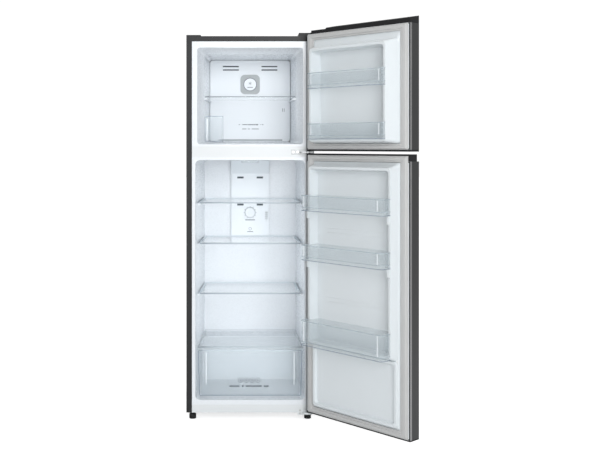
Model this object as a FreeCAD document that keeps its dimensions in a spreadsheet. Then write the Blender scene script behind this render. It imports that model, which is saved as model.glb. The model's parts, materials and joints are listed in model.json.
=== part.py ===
"""Top freezer refrigerator, modelled with its doors open.

Millimetres. X runs to the right, Y to the back and Z up. The origin is on the floor under the
middle of the cabinet. Pieces are laid out with Y measured from the cabinet's front plane and the
doors shut; place() then moves them into the final frame and swings the doors open.
"""
import FreeCAD, Part
import math
import os
import re
import Sketcher
from FreeCAD import Placement, Rotation, Vector

doc = FreeCAD.newDocument("TopFreezerRefrigerator")
sheet = doc.addObject("Spreadsheet::Sheet", "dims")

SIZES = {
    # cabinet wrapper, base and front frame
    "cabinet_width": 545, "cabinet_depth": 495, "cabinet_low": 33, "cabinet_top": 1640,
    "steel": 0.8, "side_flange": 24, "top_flange": 22.6, "plastic": 1.5, "fit_gap": 0.3,
    "rail_top": 67, "mullion_low": 1124, "mullion_high": 1169, "wrapper_radius": 2,
    # freezer compartment
    "ice_half": 226, "ice_low": 1178, "ice_high": 1591, "ice_flare_depth": 85,
    "ice_throat_half": 201, "ice_throat_low": 1184, "ice_throat_high": 1571,
    "ice_rear": 440, "ice_rear_half": 185, "ice_rear_low": 1190, "ice_corner": 12,
    # fresh food compartment and the compressor step behind it
    "food_half": 234, "food_low": 86.5, "food_high": 1111, "food_rear": 450,
    "food_rear_half": 216, "food_rear_low": 92, "food_rear_high": 1104, "food_corner": 20,
    "step_front": 335, "step_top": 290, "bay_front": 360, "bay_top": 262,
    # evaporator compartment
    "cover_front": 370, "cover_thick": 3, "cover_half": 186.5, "cover_low": 1190, "cover_high": 1569.5,
    "vent_inner": 53, "vent_outer": 127, "vent_high": 1538, "vent_low": 1522, "slot_tall": 6,
    "return_half": 150, "return_low": 1192, "badge_level": 1457, "badge_half": 45, "badge_radius": 30,
    "fan_level": 1500, "fan_radius": 44, "hub_radius": 16,
    "fin_count": 22, "fin_pitch": 13, "fin_low": 1240, "fin_high": 1420, "fin_front": 384, "fin_back": 432,
    # air duct on the fresh food rear wall
    "duct_half": 89, "duct_low": 712, "duct_front": 430, "duct_top_front": 385, "duct_bend": 1040,
    "duct_vent_inner": 31, "duct_vent_outer": 61, "duct_vent_tall": 9, "duct_vent_high": 1017,
    "duct_vent_low": 889, "knob_level": 856, "knob_radius": 23.6, "lens_half": 40,
    "lens_low": 1095, "lens_front": 170, "lens_back": 230,
    # shelves
    "shelf_front": 100, "shelf_back": 427, "shelf_half": 223, "shelf_back_half": 213, "shelf_thick": 7,
    "shelf_rim": 9, "glass_thick": 4, "shelf_top_level": 926, "shelf_middle_level": 748,
    "shelf_low_level": 529, "ice_shelf_front": 67, "ice_shelf_back": 366, "ice_shelf_half": 197,
    "ice_shelf_back_half": 185, "ice_shelf_level": 1386, "ledge_tall": 6,
    "crisper_lid_front": 50, "crisper_lid_half": 229.5, "crisper_lid_level": 306,
    # crisper drawer and ice box
    "drawer_front": 45, "drawer_back": 328, "drawer_half": 224, "drawer_base_half": 219,
    "drawer_low": 92, "drawer_high": 290, "drawer_wall": 2.5, "drawer_corner": 20,
    "ice_box_left": -195.5, "ice_box_right": -117, "ice_box_front": 74, "ice_box_back": 150,
    "ice_box_low": 1190, "ice_box_high": 1301, "ice_box_wall": 2,
    # doors
    "door_angle": 132.5, "hinge_x": 262.7, "hinge_y": -34, "door_outer": -68, "door_inner": -10,
    "seal_face": -1.2, "door_radius": 4, "seal_edge": 7, "seal_inner": 44, "pin_radius": 4,
    "pin_bore": 4.3, "boss_radius": 9, "hinge_clear": 246, "arm_half": 8,
    "ice_door_low": 1149.5, "ice_door_high": 1672, "ice_door_base": 1157, "ice_door_cap": 1641,
    "ice_cap_inner": 1660, "hinge_end": 163, "hinge_end_high": 1656,
    "ice_seal_low": 1158, "ice_seal_sill": 1181, "ice_seal_lintel": 1613, "ice_seal_high": 1640,
    "food_door_low": 47, "food_door_high": 1139.4, "food_door_base": 52, "food_door_cap": 1112,
    "food_seal_low": 53, "food_seal_sill": 81, "food_seal_lintel": 1108, "food_seal_high": 1133,
    "grip_depth": 12, "dike_base": 228.5, "dike_lip": 222.5, "ridge": 9,
    "ice_dike_half": 200.5, "ice_dike_front": 50, "food_dike_half": 216, "food_dike_front": 38,
    "ice_dike_low": 1183, "ice_dike_high": 1587, "ice_crest_low": 1189, "ice_crest_high": 1571,
    "food_dike_low": 90, "food_dike_high": 1100, "low_dike_half": 219.5, "low_dike_front": 8,
    "dike_split": 345, "dike_corner": 14,
    # door bins
    "bin_wall": 2.4, "bin_corner": 8, "ice_bin_half": 201, "ice_bin_front": 62, "ice_neck_half": 183,
    "food_neck_half": 195, "bin_back": 0, "ice_bin_high_low": 1405, "ice_bin_high_top": 1471,
    "ice_bin_low_low": 1198, "ice_bin_low_top": 1263, "food_bin_half": 216, "food_bin_front": 88, "food_bin_corner": 16,
    "food_bin_high_low": 905, "food_bin_high_top": 969, "food_bin_mid_low": 703,
    "food_bin_mid_top": 766, "rack_low": 355, "rack_top": 456,
    # feet, rollers and the compressor bay
    "foot_x": 247, "foot_y": 35, "foot_radius": 15, "foot_high": 22, "stud_radius": 4,
    "roller_x": 225, "roller_y": 462, "roller_radius": 15, "roller_wide": 14, "axle_radius": 2.5,
    "pot_x": -70, "pot_y": 427, "pot_radius": 58, "pot_low": 54, "pot_high": 195,
    "bay_cover_low": 40, "bay_cover_high": 258, "gland_x": 190, "gland_level": 120, "gland_bore": 4,
}


def write_sheet():
    """Give each size a cell with its own alias."""
    for row, (alias, value) in enumerate(SIZES.items(), 1):
        sheet.set(f"A{row}", alias)
        sheet.set(f"B{row}", str(value))
        sheet.setAlias(f"B{row}", alias)
    doc.recompute()


def size(value):
    """The number behind an alias; a plain number stays as it is."""
    return float(sheet.get(value)) if value in SIZES else float(value)


def bound(value):
    """Write a size as a sheet expression, giving each alias its sheet prefix."""
    return re.sub(r"[a-z_]{3,}", lambda word: "dims." + word[0] if word[0] in SIZES else word[0],
                  str(value))


# ---- shapes from primitives -------------------------------------------------------------------

def pair(span):
    """A span is a (start, end) pair, or one half width that is centred on zero."""
    return span if isinstance(span, tuple) else (f"-({span})", span)


def box(name, across, depth, height):
    """A block that fills three spans."""
    block = doc.addObject("Part::Box", name)
    for axis, side, span in zip("xyz", ("Length", "Width", "Height"), (across, depth, height)):
        start, end = pair(span)
        block.setExpression("Placement.Base." + axis, bound(start))
        block.setExpression(side, bound(f"({end}) - ({start})"))
    return block


def wedge(name, run, near, far, upright=False):
    """A block that tapers along Y, or along Z if upright, from section near to section far.

    A section is (span across X, span along Z), or (span across X, span along Y) if upright.
    """
    block = doc.addObject("Part::Wedge", name)
    start, end = run
    sizes = {"Ymin": start, "Ymax": end}
    for (across, other), left, right, low, high in (
            (near, "Xmin", "Xmax", "Zmin", "Zmax"), (far, "X2min", "X2max", "Z2min", "Z2max")):
        sizes[left], sizes[right] = pair(across)
        first, last = pair(other)
        sizes[low], sizes[high] = (f"-({last})", f"-({first})") if upright else (first, last)
    for key, value in sizes.items():
        block.setExpression(key, bound(value))
    if upright:
        block.Placement = Placement(Vector(), Rotation(Vector(1, 0, 0), 90))
    return block


def rod(name, axis, centre, radius, length):
    """A cylinder that starts at its centre point and runs along +X, +Y or +Z."""
    turns = {"x": Rotation(Vector(0, 1, 0), 90), "y": Rotation(Vector(1, 0, 0), -90), "z": Rotation()}
    cylinder = doc.addObject("Part::Cylinder", name)
    cylinder.Placement = Placement(Vector(), turns[axis])
    for direction, value in zip("xyz", centre):
        cylinder.setExpression("Placement.Base." + direction, bound(value))
    cylinder.setExpression("Radius", bound(radius))
    cylinder.setExpression("Height", bound(length))
    return cylinder


def fuse(name, *shapes):
    joined = doc.addObject("Part::MultiFuse", name)
    joined.Shapes = list(shapes)
    return joined


def cut(name, base, *tools):
    remainder = doc.addObject("Part::Cut", name)
    remainder.Base = base
    remainder.Tool = tools[0] if len(tools) == 1 else fuse(name + "_tools", *tools)
    return remainder


def along(axis, keep=lambda middle: True):
    """A test for straight edges that run mostly along one axis and whose middle point passes keep."""
    def wanted(edge):
        if edge.Curve.TypeId != "Part::GeomLine":
            return False
        run = edge.lastVertex().Point - edge.firstVertex().Point
        return abs(getattr(run, axis)) > 0.3 * run.Length and keep(edge.CenterOfMass)
    return wanted


def rounded(name, base, radius, wanted):
    """Round the edges of a shape that the test picks out."""
    doc.recompute()
    fillet = doc.addObject("Part::Fillet", name)
    fillet.Base = base
    radii = (size(radius), size(radius))
    fillet.Edges = [(number, *radii) for number, edge in enumerate(base.Shape.Edges, 1) if wanted(edge)]
    return fillet


# ---- shapes from sketches ---------------------------------------------------------------------

def new_body(name):
    return doc.addObject("PartDesign::Body", name)


def sketch(body, plane, origin, *outlines):
    """A sketch with its own origin at a point of the layout.

    An outline is a list of corner points, or a (centre across, centre up, radius) circle.
    """
    drawing = body.newObject("Sketcher::SketchObject", body.Name + "_sketch")
    support = next(item for item in body.Origin.OriginFeatures if item.Role == plane)
    drawing.AttachmentSupport = [(support, "")]
    drawing.MapMode = "FlatFace"
    x, y, z = origin
    shifts = {"XY_Plane": (x, y, z), "XZ_Plane": (x, z, f"-({y})"), "YZ_Plane": (y, z, x)}[plane]
    for axis, shift in zip("xyz", shifts):
        drawing.setExpression("AttachmentOffset.Base." + axis, bound(shift))
    for outline in outlines:
        if isinstance(outline, tuple):
            draw_circle(drawing, *outline)
        else:
            draw_polygon(drawing, outline)
    return drawing


def pin_point(drawing, shape, point, across, up, start):
    """Hold one point of a sketch at its two distances from the sketch's origin."""
    for kind, value, first in (("DistanceX", across, start.x), ("DistanceY", up, start.y)):
        number = drawing.addConstraint(Sketcher.Constraint(kind, -1, 1, shape, point, first))
        drawing.setExpression(f"Constraints[{number}]", bound(value))


def draw_circle(drawing, across, up, radius):
    start = Vector(10, 10, 0)
    circle = drawing.addGeometry(Part.Circle(start, Vector(0, 0, 1), 5))
    number = drawing.addConstraint(Sketcher.Constraint("Radius", circle, 5))
    drawing.setExpression(f"Constraints[{number}]", bound(radius))
    pin_point(drawing, circle, 3, across, up, start)


def draw_polygon(drawing, points):
    """Draw a closed outline from a regular polygon whose corners are then held in place."""
    turn = Rotation(Vector(0, 0, 1), 360 / len(points))
    corners = [Vector(100, 0, 0)]
    for _ in points[1:]:
        corners.append(turn.multVec(corners[-1]))
    lines = [drawing.addGeometry(Part.LineSegment(corner, corners[(index + 1) % len(corners)]))
             for index, corner in enumerate(corners)]
    for index, line in enumerate(lines):
        following = lines[(index + 1) % len(lines)]
        drawing.addConstraint(Sketcher.Constraint("Coincident", line, 2, following, 1))
    for line, corner, (across, up) in zip(lines, corners, points):
        pin_point(drawing, line, 1, across, up, corner)


def pad(body, drawing, length, backwards=False, centred=False):
    feature = body.newObject("PartDesign::Pad", body.Name + "_pad")
    feature.Profile = drawing
    feature.Reversed = backwards
    feature.Midplane = centred
    feature.setExpression("Length", bound(length))
    return feature


def pocket(body, drawing, length, backwards=False):
    feature = body.newObject("PartDesign::Pocket", body.Name + "_pocket")
    feature.Profile = drawing
    feature.Reversed = backwards
    feature.setExpression("Length", bound(length))
    return feature


def revolve(body, drawing, axis="V_Axis"):
    feature = body.newObject("PartDesign::Revolution", body.Name + "_revolution")
    feature.Profile = drawing
    feature.ReferenceAxis = (drawing, [axis])
    feature.Angle = 360
    return feature


# ---- placing and keeping the pieces -----------------------------------------------------------

NODES = []


def place(piece, swings=False):
    """Move a piece from the layout to the final frame, and swing a door's piece open."""
    across, along_y = "0", "-cabinet_depth / 2"
    if swings:
        across = "hinge_x - cos(door_angle) * hinge_x + sin(door_angle) * hinge_y"
        along_y += " + hinge_y - sin(door_angle) * hinge_x - cos(door_angle) * hinge_y"
        piece.setExpression("Placement.Rotation.Angle", bound("door_angle"))
    piece.setExpression("Placement.Base.x", bound(across))
    piece.setExpression("Placement.Base.y", bound(along_y))
    NODES.append(piece)


def keep(name, shape, swings=False):
    """Finish a piece that was made from primitives and booleans, under its node name."""
    piece = doc.addObject("Part::Refine", name)
    piece.Source = shape
    piece.Label = name
    place(piece, swings)


def keep_body(body, name):
    """Finish a piece that was made from sketches, under its node name."""
    body.Label = name
    place(body)


def keep_shape(name, shape):
    """Finish a piece whose shape is worked out in code, under its node name."""
    piece = doc.addObject("Part::Feature", name)
    piece.Shape = shape
    piece.Label = name
    place(piece)


# ---- cabinet ----------------------------------------------------------------------------------

HALF = "cabinet_width / 2"
INSIDE = "cabinet_width / 2 - steel"
MOUTH = "cabinet_width / 2 - side_flange - 0.2"
WALL = "plastic"


def grown(section, margin):
    """A wedge section with every side moved out by a margin."""
    across, height = section
    left, right = pair(across)
    low, high = pair(height)
    return (f"{left} - ({margin})", f"{right} + {margin}"), (f"{low} - ({margin})", f"{high} + {margin}")


def cabinet_shell():
    """One folded steel wrapper: two sides, the top and a narrow flange round the front."""
    outer = box("wrapper_outside", HALF, (0, "cabinet_depth"), ("cabinet_low", "cabinet_top"))
    outer = rounded("wrapper_rounded", outer, "wrapper_radius", along("z", lambda middle: middle.y < 1))
    hollow = box("wrapper_hollow", INSIDE, ("steel", "cabinet_depth + 1"),
                 ("cabinet_low - 1", "cabinet_top - steel"))
    mouth = box("wrapper_mouth", "cabinet_width / 2 - side_flange", (-1, "steel + 1"),
                ("cabinet_low - 1", "cabinet_top - top_flange"))
    keep("cabinet_shell", cut("wrapper", outer, hollow, mouth))


def back_and_base():
    """The steel back, and the base that carries the compressor, the rollers and the feet."""
    plate = box("back_plate", INSIDE, ("cabinet_depth - steel", "cabinet_depth"),
                ("bay_top", "cabinet_top - steel - 0.1"))
    ribs = [box(f"back_rib_{number}", (-140 + 120 * number, -100 + 120 * number),
                ("cabinet_depth - 0.1", "cabinet_depth + 1.5"), ("bay_top + 90", "cabinet_top - 90"))
            for number in range(3)]
    keep("rear_panel", fuse("back", plate, *ribs))

    base = new_body("base_body")
    upper = "cabinet_low + plastic"
    profile = [(WALL, "cabinet_low"), ("cabinet_depth - 1", "cabinet_low"), ("cabinet_depth - 1", upper),
               ("bay_front", upper), ("bay_front", "bay_top - plastic"),
               ("cabinet_depth - 1", "bay_top - plastic"), ("cabinet_depth - 1", "bay_top"),
               ("bay_front - plastic", "bay_top"), ("bay_front - plastic", upper), (WALL, upper)]
    pad(base, sketch(base, "YZ_Plane", (0, 0, 0), profile), "cabinet_width - 2 * steel - 0.4", centred=True)
    for side in ("-", ""):
        for offset in (-10, 8):
            cheek = rectangle(("roller_y - 10", "roller_y + 10"), (7, "cabinet_low + 0.5"))
            pad(base, sketch(base, "YZ_Plane", (f"{side}roller_x + {offset}", 0, 0), cheek), 2)
        axle = sketch(base, "YZ_Plane", (f"{side}roller_x - 11.5", 0, 0),
                      ("roller_y", "roller_radius", "axle_radius"))
        pad(base, axle, 23)
    holes = [(f"{side}foot_x", "foot_y", "stud_radius + 0.5") for side in ("-", "")]
    pocket(base, sketch(base, "XY_Plane", (0, 0, upper), *holes), "plastic")
    keep_body(base, "base_pan")


def front_frame():
    """The white rail under the lower opening and the strip between the two openings."""
    rail = box("rail", MOUTH, (0, WALL), ("cabinet_low", "rail_top"))
    fold = box("rail_fold", MOUTH, (WALL, 12), ("rail_top - 3", "rail_top"))
    keep("front_bottom_rail", cut("rail_clear", fuse("rail_all", rail, fold),
                                  box("rail_slit", MOUTH, (WALL, 13), ("rail_top - 1.8", "rail_top + 1"))))
    keep("mullion_cover", box("mullion", MOUTH, (0, WALL), ("mullion_low + 0.1", "mullion_high - 0.1")))


def freezer_tub(name, margin):
    """The freezer compartment's space, grown by a margin: a flared mouth and a drafted throat."""
    mouth = ("ice_half", ("ice_low", "ice_high"))
    throat = ("ice_throat_half", ("ice_throat_low", "ice_throat_high"))
    rear = ("ice_rear_half", ("ice_rear_low", "ice_throat_high"))
    flare = wedge(name + "_flare", (0, "ice_flare_depth"), grown(mouth, margin), grown(throat, margin))
    flare = rounded(name + "_flare_round", flare, "ice_corner", along("y"))
    depth = wedge(name + "_depth", ("ice_flare_depth", f"ice_rear + {margin}"),
                  grown(throat, margin), grown(rear, margin))
    depth = rounded(name + "_depth_round", depth, "ice_corner", along("y"))
    return fuse(name, flare, depth)


def food_tub(name, margin):
    """The fresh food compartment's space, grown by a margin, with its step over the compressor."""
    mouth = ("food_half", ("food_low", "food_high"))
    rear = ("food_rear_half", ("food_rear_low", "food_rear_high"))
    space = wedge(name + "_space", (0, f"food_rear + {margin}"), grown(mouth, margin), grown(rear, margin))
    space = rounded(name + "_round", space, "food_corner", along("y"))
    step = box(name + "_step", "cabinet_width", (f"step_front + {margin}", "cabinet_depth"),
               (0, f"step_top - ({margin})"))
    return cut(name, space, step)


def rail_ledge(name, level, front, back, walls):
    """Two moulded ledges that carry a shelf, one on each side wall, as tapered blocks."""
    near_wall, far_wall = walls
    ledges = []
    for side, sign in (("left", "-"), ("right", "")):
        def edge(inner, outer):
            return (f"-({outer})", f"-({inner})") if sign else (inner, outer)
        height = (f"{level} - shelf_thick - ledge_tall", f"{level} - shelf_thick - fit_gap")
        ledges.append(wedge(f"{name}_{side}", (front, back),
                            (edge(f"{near_wall} - 12", f"{near_wall} + 0.4"), height),
                            (edge(f"{far_wall} - 9", f"{far_wall} + 0.8"), height)))
    return ledges


def freezer_liner():
    flange = box("ice_flange", MOUTH, (0, WALL), ("mullion_high", "cabinet_top - top_flange - 0.2"))
    tub = fuse("ice_tub", flange, freezer_tub("ice_outside", WALL))
    tub = cut("ice_hollowed", tub, freezer_tub("ice_space", "0"),
              box("ice_open", "ice_half", (-1, 0), ("ice_low", "ice_high")))
    front, back = "ice_flare_depth + 15", "cover_front - 8"
    ledges = rail_ledge("ice_ledge", "ice_shelf_level", front, back,
                        ("ice_throat_half", "ice_rear_half + 4"))
    keep("freezer_liner", fuse("ice_liner", tub, *ledges))


def fridge_liner():
    flange = box("food_flange", MOUTH, (0, WALL), ("rail_top", "mullion_low"))
    tub = fuse("food_tub", flange, food_tub("food_outside", WALL))
    tub = cut("food_hollowed", tub, food_tub("food_space", "0"))
    ledges = []
    for level in ("shelf_top_level", "shelf_middle_level", "shelf_low_level"):
        ledges += rail_ledge("food_ledge_" + level, level, "shelf_front + 10", "shelf_back - 8",
                             ("food_half - 4", "food_rear_half"))
    ledges += rail_ledge("food_ledge_lid", "(crisper_lid_level + 2)", "crisper_lid_front + 20",
                         "shelf_back - 8", ("food_half - 3", "food_rear_half"))
    keep("fridge_liner", fuse("food_liner", tub, *ledges))


def cabinet_foam():
    """The insulation fills the wrapper round both liners and stops at the compressor bay."""
    block = box("foam_block", "cabinet_width / 2 - steel - 0.1",
                ("plastic + 0.1", "cabinet_depth - steel - 0.1"),
                ("cabinet_low + plastic + 0.1", "cabinet_top - steel - 0.1"))
    bay = box("foam_bay", "cabinet_width", ("bay_front - plastic - 0.1", "cabinet_depth + 1"),
              (0, "bay_top + 0.1"))
    pipes = box("foam_pipe_space", 215, ("cabinet_depth - 9", "cabinet_depth + 1"), ("bay_top + 40", 1560))
    fold = box("foam_fold_space", MOUTH, (0, 13), ("rail_top - 4", "rail_top"))
    studs = [rod(f"foam_stud_{number}", "z", (f"{side}foot_x", "foot_y", "cabinet_low"), "stud_radius + 2",
                 30)
             for number, side in enumerate(("-", ""))]
    spaces = [freezer_tub("foam_ice", "plastic + 0.1"), food_tub("foam_food", "plastic + 0.1")]
    keep("cabinet_foam", cut("foam", block, bay, pipes, fold, *studs, *spaces))


# ---- freezer fittings and the cooling circuit --------------------------------------------------

def evaporator_cover():
    """The freezer's rear panel, with two pairs of outlets above and a return slot below."""
    cover = new_body("cover_body")
    outline = rectangle("cover_half", ("cover_low", "cover_high"))
    pad(cover, sketch(cover, "XZ_Plane", (0, "cover_front", 0), outline), "cover_thick", backwards=True)
    slots = [rectangle((f"{side}vent_inner", f"{side}vent_outer"), (level, f"{level} + slot_tall"))
             for side in ("", "-") for level in ("vent_low", "vent_high")]
    slots.append(rectangle("return_half", ("return_low + 3", "return_low + 3 + slot_tall")))
    slotted = pocket(cover, sketch(cover, "XZ_Plane", (0, "cover_front", 0), *slots), "cover_thick")
    doc.recompute()
    corners = cover.newObject("PartDesign::Fillet", "cover_corners")
    half, low, high = size("cover_half"), size("cover_low"), size("cover_high")
    names = []
    for number, edge in enumerate(slotted.Shape.Edges, 1):
        middle = edge.CenterOfMass
        if abs(abs(middle.x) - half) < 0.1 and min(abs(middle.z - low), abs(middle.z - high)) < 0.1:
            names.append(f"Edge{number}")
    corners.Base = (slotted, names)
    corners.Radius = size("ice_corner") + 2
    cover.Tip = corners
    keep_body(cover, "evaporator_cover")


def rectangle(across, height):
    """Corner points of a rectangle that fills two spans."""
    left, right = pair(across)
    low, high = pair(height)
    return [(left, low), (right, low), (right, high), (left, high)]


def air_filter():
    """A square housing on the freezer's rear panel, with a round cap held in its ring."""
    housing = box("filter_block", "badge_half", ("cover_front - 5", "cover_front - 0.1"),
                  ("badge_level - badge_half", "badge_level + badge_half"))
    housing = rounded("filter_round", housing, 20, along("y"))
    well = rod("filter_well", "y", (0, "cover_front - 6", "badge_level"), "badge_radius + 2", 4)
    keep("air_filter_housing", cut("filter_housing", housing, well))
    cap = rod("filter_disc", "y", (0, "cover_front - 8", "badge_level"), "badge_radius", 5.8)
    cap = rounded("filter_cap", cap, 1.5, lambda edge: edge.CenterOfMass.y < size("cover_front") - 7.5)
    keep("air_filter_cap", cap)


def evaporator():
    """A row of aluminium fins joined by three passes of tube, with the defrost heater below them."""
    fins = []
    first = -(size("fin_count") - 1) * size("fin_pitch") / 2
    for number in range(int(size("fin_count"))):
        middle = first + number * size("fin_pitch")
        fins.append(box(f"fin_{number}", (middle - 0.5, middle + 0.5), ("fin_front", "fin_back"),
                        ("fin_low", "fin_high")))
    passes = [rod(f"evaporator_pass_{number}", "x", (first - 8, "(fin_front + fin_back) / 2", level), 5,
                  size("fin_count") * size("fin_pitch") + 4)
              for number, level in enumerate(("fin_low + 25", "(fin_low + fin_high) / 2", "fin_high - 25"))]
    heater = rod("heater_tube", "x", (-130, "(fin_front + fin_back) / 2", "fin_low - 20"), 5, 260)
    keep("evaporator_coil", fuse("evaporator", *fins, *passes, heater))


def evaporator_fan():
    """A hub and five blades on a shaft, in front of its motor."""
    motor = rod("motor_can", "y", (0, 412, "fan_level"), 22, 24)
    arms = box("motor_arms", 60, (422, 426), ("fan_level - 6", "fan_level + 6"))
    keep("fan_motor", cut("motor", fuse("motor_all", motor, arms),
                          rod("motor_bore", "y", (0, 411, "fan_level"), 2.4, 8)))

    fan = new_body("fan_body")
    hub = sketch(fan, "XZ_Plane", (0, 388, "fan_level"), (0, 0, "hub_radius"))
    pad(fan, hub, 14, backwards=True)
    blade = sketch(fan, "XZ_Plane", (0, 391, "fan_level"),
                   [("hub_radius - 4", -9), ("fan_radius - 2", -15), ("fan_radius", 8),
                    ("hub_radius - 4", 6)])
    blade_pad = pad(fan, blade, 3, backwards=True)
    doc.recompute()
    blades = fan.newObject("PartDesign::PolarPattern", "fan_blades")
    blades.Originals = [blade_pad]
    blades.Axis = (hub, ["N_Axis"])
    blades.Angle = 360
    blades.Occurrences = 5
    fan.Tip = blades
    shaft = sketch(fan, "XZ_Plane", (0, 401, "fan_level"), (0, 0, 2))
    pad(fan, shaft, 14, backwards=True)
    keep_body(fan, "evaporator_fan")


def tube(points, radius, bend):
    """A round tube along straight runs joined by tangent arcs."""
    edges = []
    start = points[0]
    for before, corner, after in zip(points, points[1:], points[2:]):
        inward = (before - corner).normalize()
        outward = (after - corner).normalize()
        half_turn = (Vector(0, 0, 0) - inward).getAngle(outward) / 2
        reach = bend * math.tan(half_turn)
        begin, end = corner + inward * reach, corner + outward * reach
        bisector = (inward + outward).normalize()
        middle = corner + bisector * (bend / math.cos(half_turn) - bend)
        edges += [Part.LineSegment(start, begin).toShape(), Part.Arc(begin, middle, end).toShape()]
        start = end
    edges.append(Part.LineSegment(start, points[-1]).toShape())
    path = Part.Wire(edges)
    first_run = (points[1] - points[0]).normalize()
    section = Part.Wire([Part.Circle(points[0], first_run, radius).toShape()])
    return path.makePipeShell([section], True, False)


def zigzag(left, right, levels, depth):
    """Points of a serpentine that runs across and steps up through the given levels."""
    points = []
    for number, level in enumerate(levels):
        ends = (left, right) if number % 2 == 0 else (right, left)
        points += [Vector(ends[0], depth, level), Vector(ends[1], depth, level)]
    return points


def condenser():
    """The warm coil lies between the steel back and the insulation."""
    depth = size("cabinet_depth") - 5
    levels = [size("bay_top") + 70 + 95 * step for step in range(13)]
    keep_shape("condenser_coil", tube(zigzag(-195, 195, levels, depth), 2.4, 30))


def compressor_set():
    """The sealed pot with its mounting feet and start relay, and the tray that catches melt water."""
    pot = new_body("pot_body")
    radius = "pot_radius"
    profile = [(0, "pot_low"), (f"{radius} - 22", "pot_low"), (radius, "pot_low + 20"),
               (radius, "pot_low + 62"), (f"{radius} + 4", "pot_low + 64"),
               (f"{radius} + 4", "pot_low + 68"),
               (radius, "pot_low + 70"), (radius, "pot_high - 42"), (f"{radius} - 14", "pot_high - 14"),
               (f"{radius} - 34", "pot_high"), (0, "pot_high")]
    revolve(pot, sketch(pot, "XZ_Plane", ("pot_x", "pot_y", 0), profile))
    plate = sketch(pot, "XY_Plane", ("pot_x", "pot_y", "pot_low - 1"),
                   rectangle("pot_radius + 22", (-58, 58)))
    pad(pot, plate, 4)
    mounts = [(x, y, 9) for x in (-68, 68) for y in (-46, 46)]
    pad(pot, sketch(pot, "XY_Plane", ("pot_x", "pot_y", "cabinet_low + plastic + 0.1"), *mounts),
        "pot_low - cabinet_low - plastic - 0.1")
    relay = rectangle(("pot_y - 26", "pot_y + 26"), ("pot_low + 18", "pot_low + 60"))
    pad(pot, sketch(pot, "YZ_Plane", ("pot_x + pot_radius - 8", 0, 0), relay), 44)
    keep_body(pot, "compressor")

    tray = wedge("tray_outside", ("pot_high + 6", "pot_high + 34"), ("80", (-40, 40)), ("86", (-46, 46)),
                 upright=True)
    inside = wedge("tray_inside", ("pot_high + 8", "pot_high + 35"), ("78", (-38, 38)),
                   ("84.5", (-44.5, 44.5)),
                   upright=True)
    tray = cut("tray", rounded("tray_round", tray, 10, along("z")),
               rounded("tray_hollow", inside, 9, along("z")))
    tray.setExpression("Placement.Base.x", bound("pot_x"))
    tray.setExpression("Placement.Base.y", bound("pot_y"))
    keep("drain_pan", tray)


def bay_pipes():
    """The suction line, the filter drier and the warm line, as one set of piping."""
    drier_x, drier_y = 60, size("pot_y") + 20
    drier = Part.makeCylinder(9, 110, Vector(drier_x, drier_y, 90))
    drier = drier.makeFillet(7, drier.Edges[:1] + drier.Edges[2:])
    pot_x, pot_y, level = size("pot_x"), size("pot_y"), size("pot_low") + 92
    edge = size("pot_radius")
    top = size("bay_top") - 2
    suction = [Vector(pot_x - edge - 0.5, pot_y, level), Vector(pot_x - edge - 45, pot_y, level),
               Vector(pot_x - edge - 45, pot_y, top)]
    hot = [Vector(drier_x, drier_y, 200.5), Vector(drier_x, drier_y, 240),
           Vector(drier_x + 60, drier_y, 240), Vector(drier_x + 60, drier_y, top)]
    keep_shape("refrigerant_lines", Part.Compound([drier, tube(suction, 3.5, 20), tube(hot, 2.5, 15)]))


def bay_cover():
    """The slotted cover over the compressor bay, with the cord's gland."""
    cover = new_body("bay_cover_body")
    plate = sketch(cover, "XZ_Plane", (0, "cabinet_depth + 0.2", 0),
                   rectangle("cabinet_width / 2 - 4", ("bay_cover_low", "bay_cover_high")),
                   ("gland_x", "gland_level", 9))
    pad(cover, plate, 1.2, backwards=True)
    slot = sketch(cover, "XZ_Plane", (-150, "cabinet_depth + 0.2", 0),
                  rectangle(12, ("bay_cover_high - 60", "bay_cover_high - 52")))
    slit = pocket(cover, slot, 1.2)
    doc.recompute()
    rows = cover.newObject("PartDesign::LinearPattern", "slot_rows")
    rows.Direction = (slot, ["V_Axis"])
    rows.Reversed = True
    rows.Length = 140
    rows.Occurrences = 8
    columns = cover.newObject("PartDesign::LinearPattern", "slot_columns")
    columns.Direction = (slot, ["H_Axis"])
    columns.Length = 240
    columns.Occurrences = 7
    grid = cover.newObject("PartDesign::MultiTransform", "slot_grid")
    grid.Originals = [slit]
    grid.Transformations = [rows, columns]
    cover.Tip = grid
    keep_body(cover, "compressor_bay_cover")

    collar = rod("gland_collar", "y", ("gland_x", "cabinet_depth - 8", "gland_level"), 8.8, 12)
    lip = rod("gland_lip", "y", ("gland_x", "cabinet_depth + 1.6", "gland_level"), 12, 2.4)
    bore = rod("gland_hole", "y", ("gland_x", "cabinet_depth - 9", "gland_level"), "gland_bore", 15)
    keep("cord_gland", cut("gland", fuse("gland_all", collar, lip), bore))


# ---- fresh food fittings -----------------------------------------------------------------------

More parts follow.
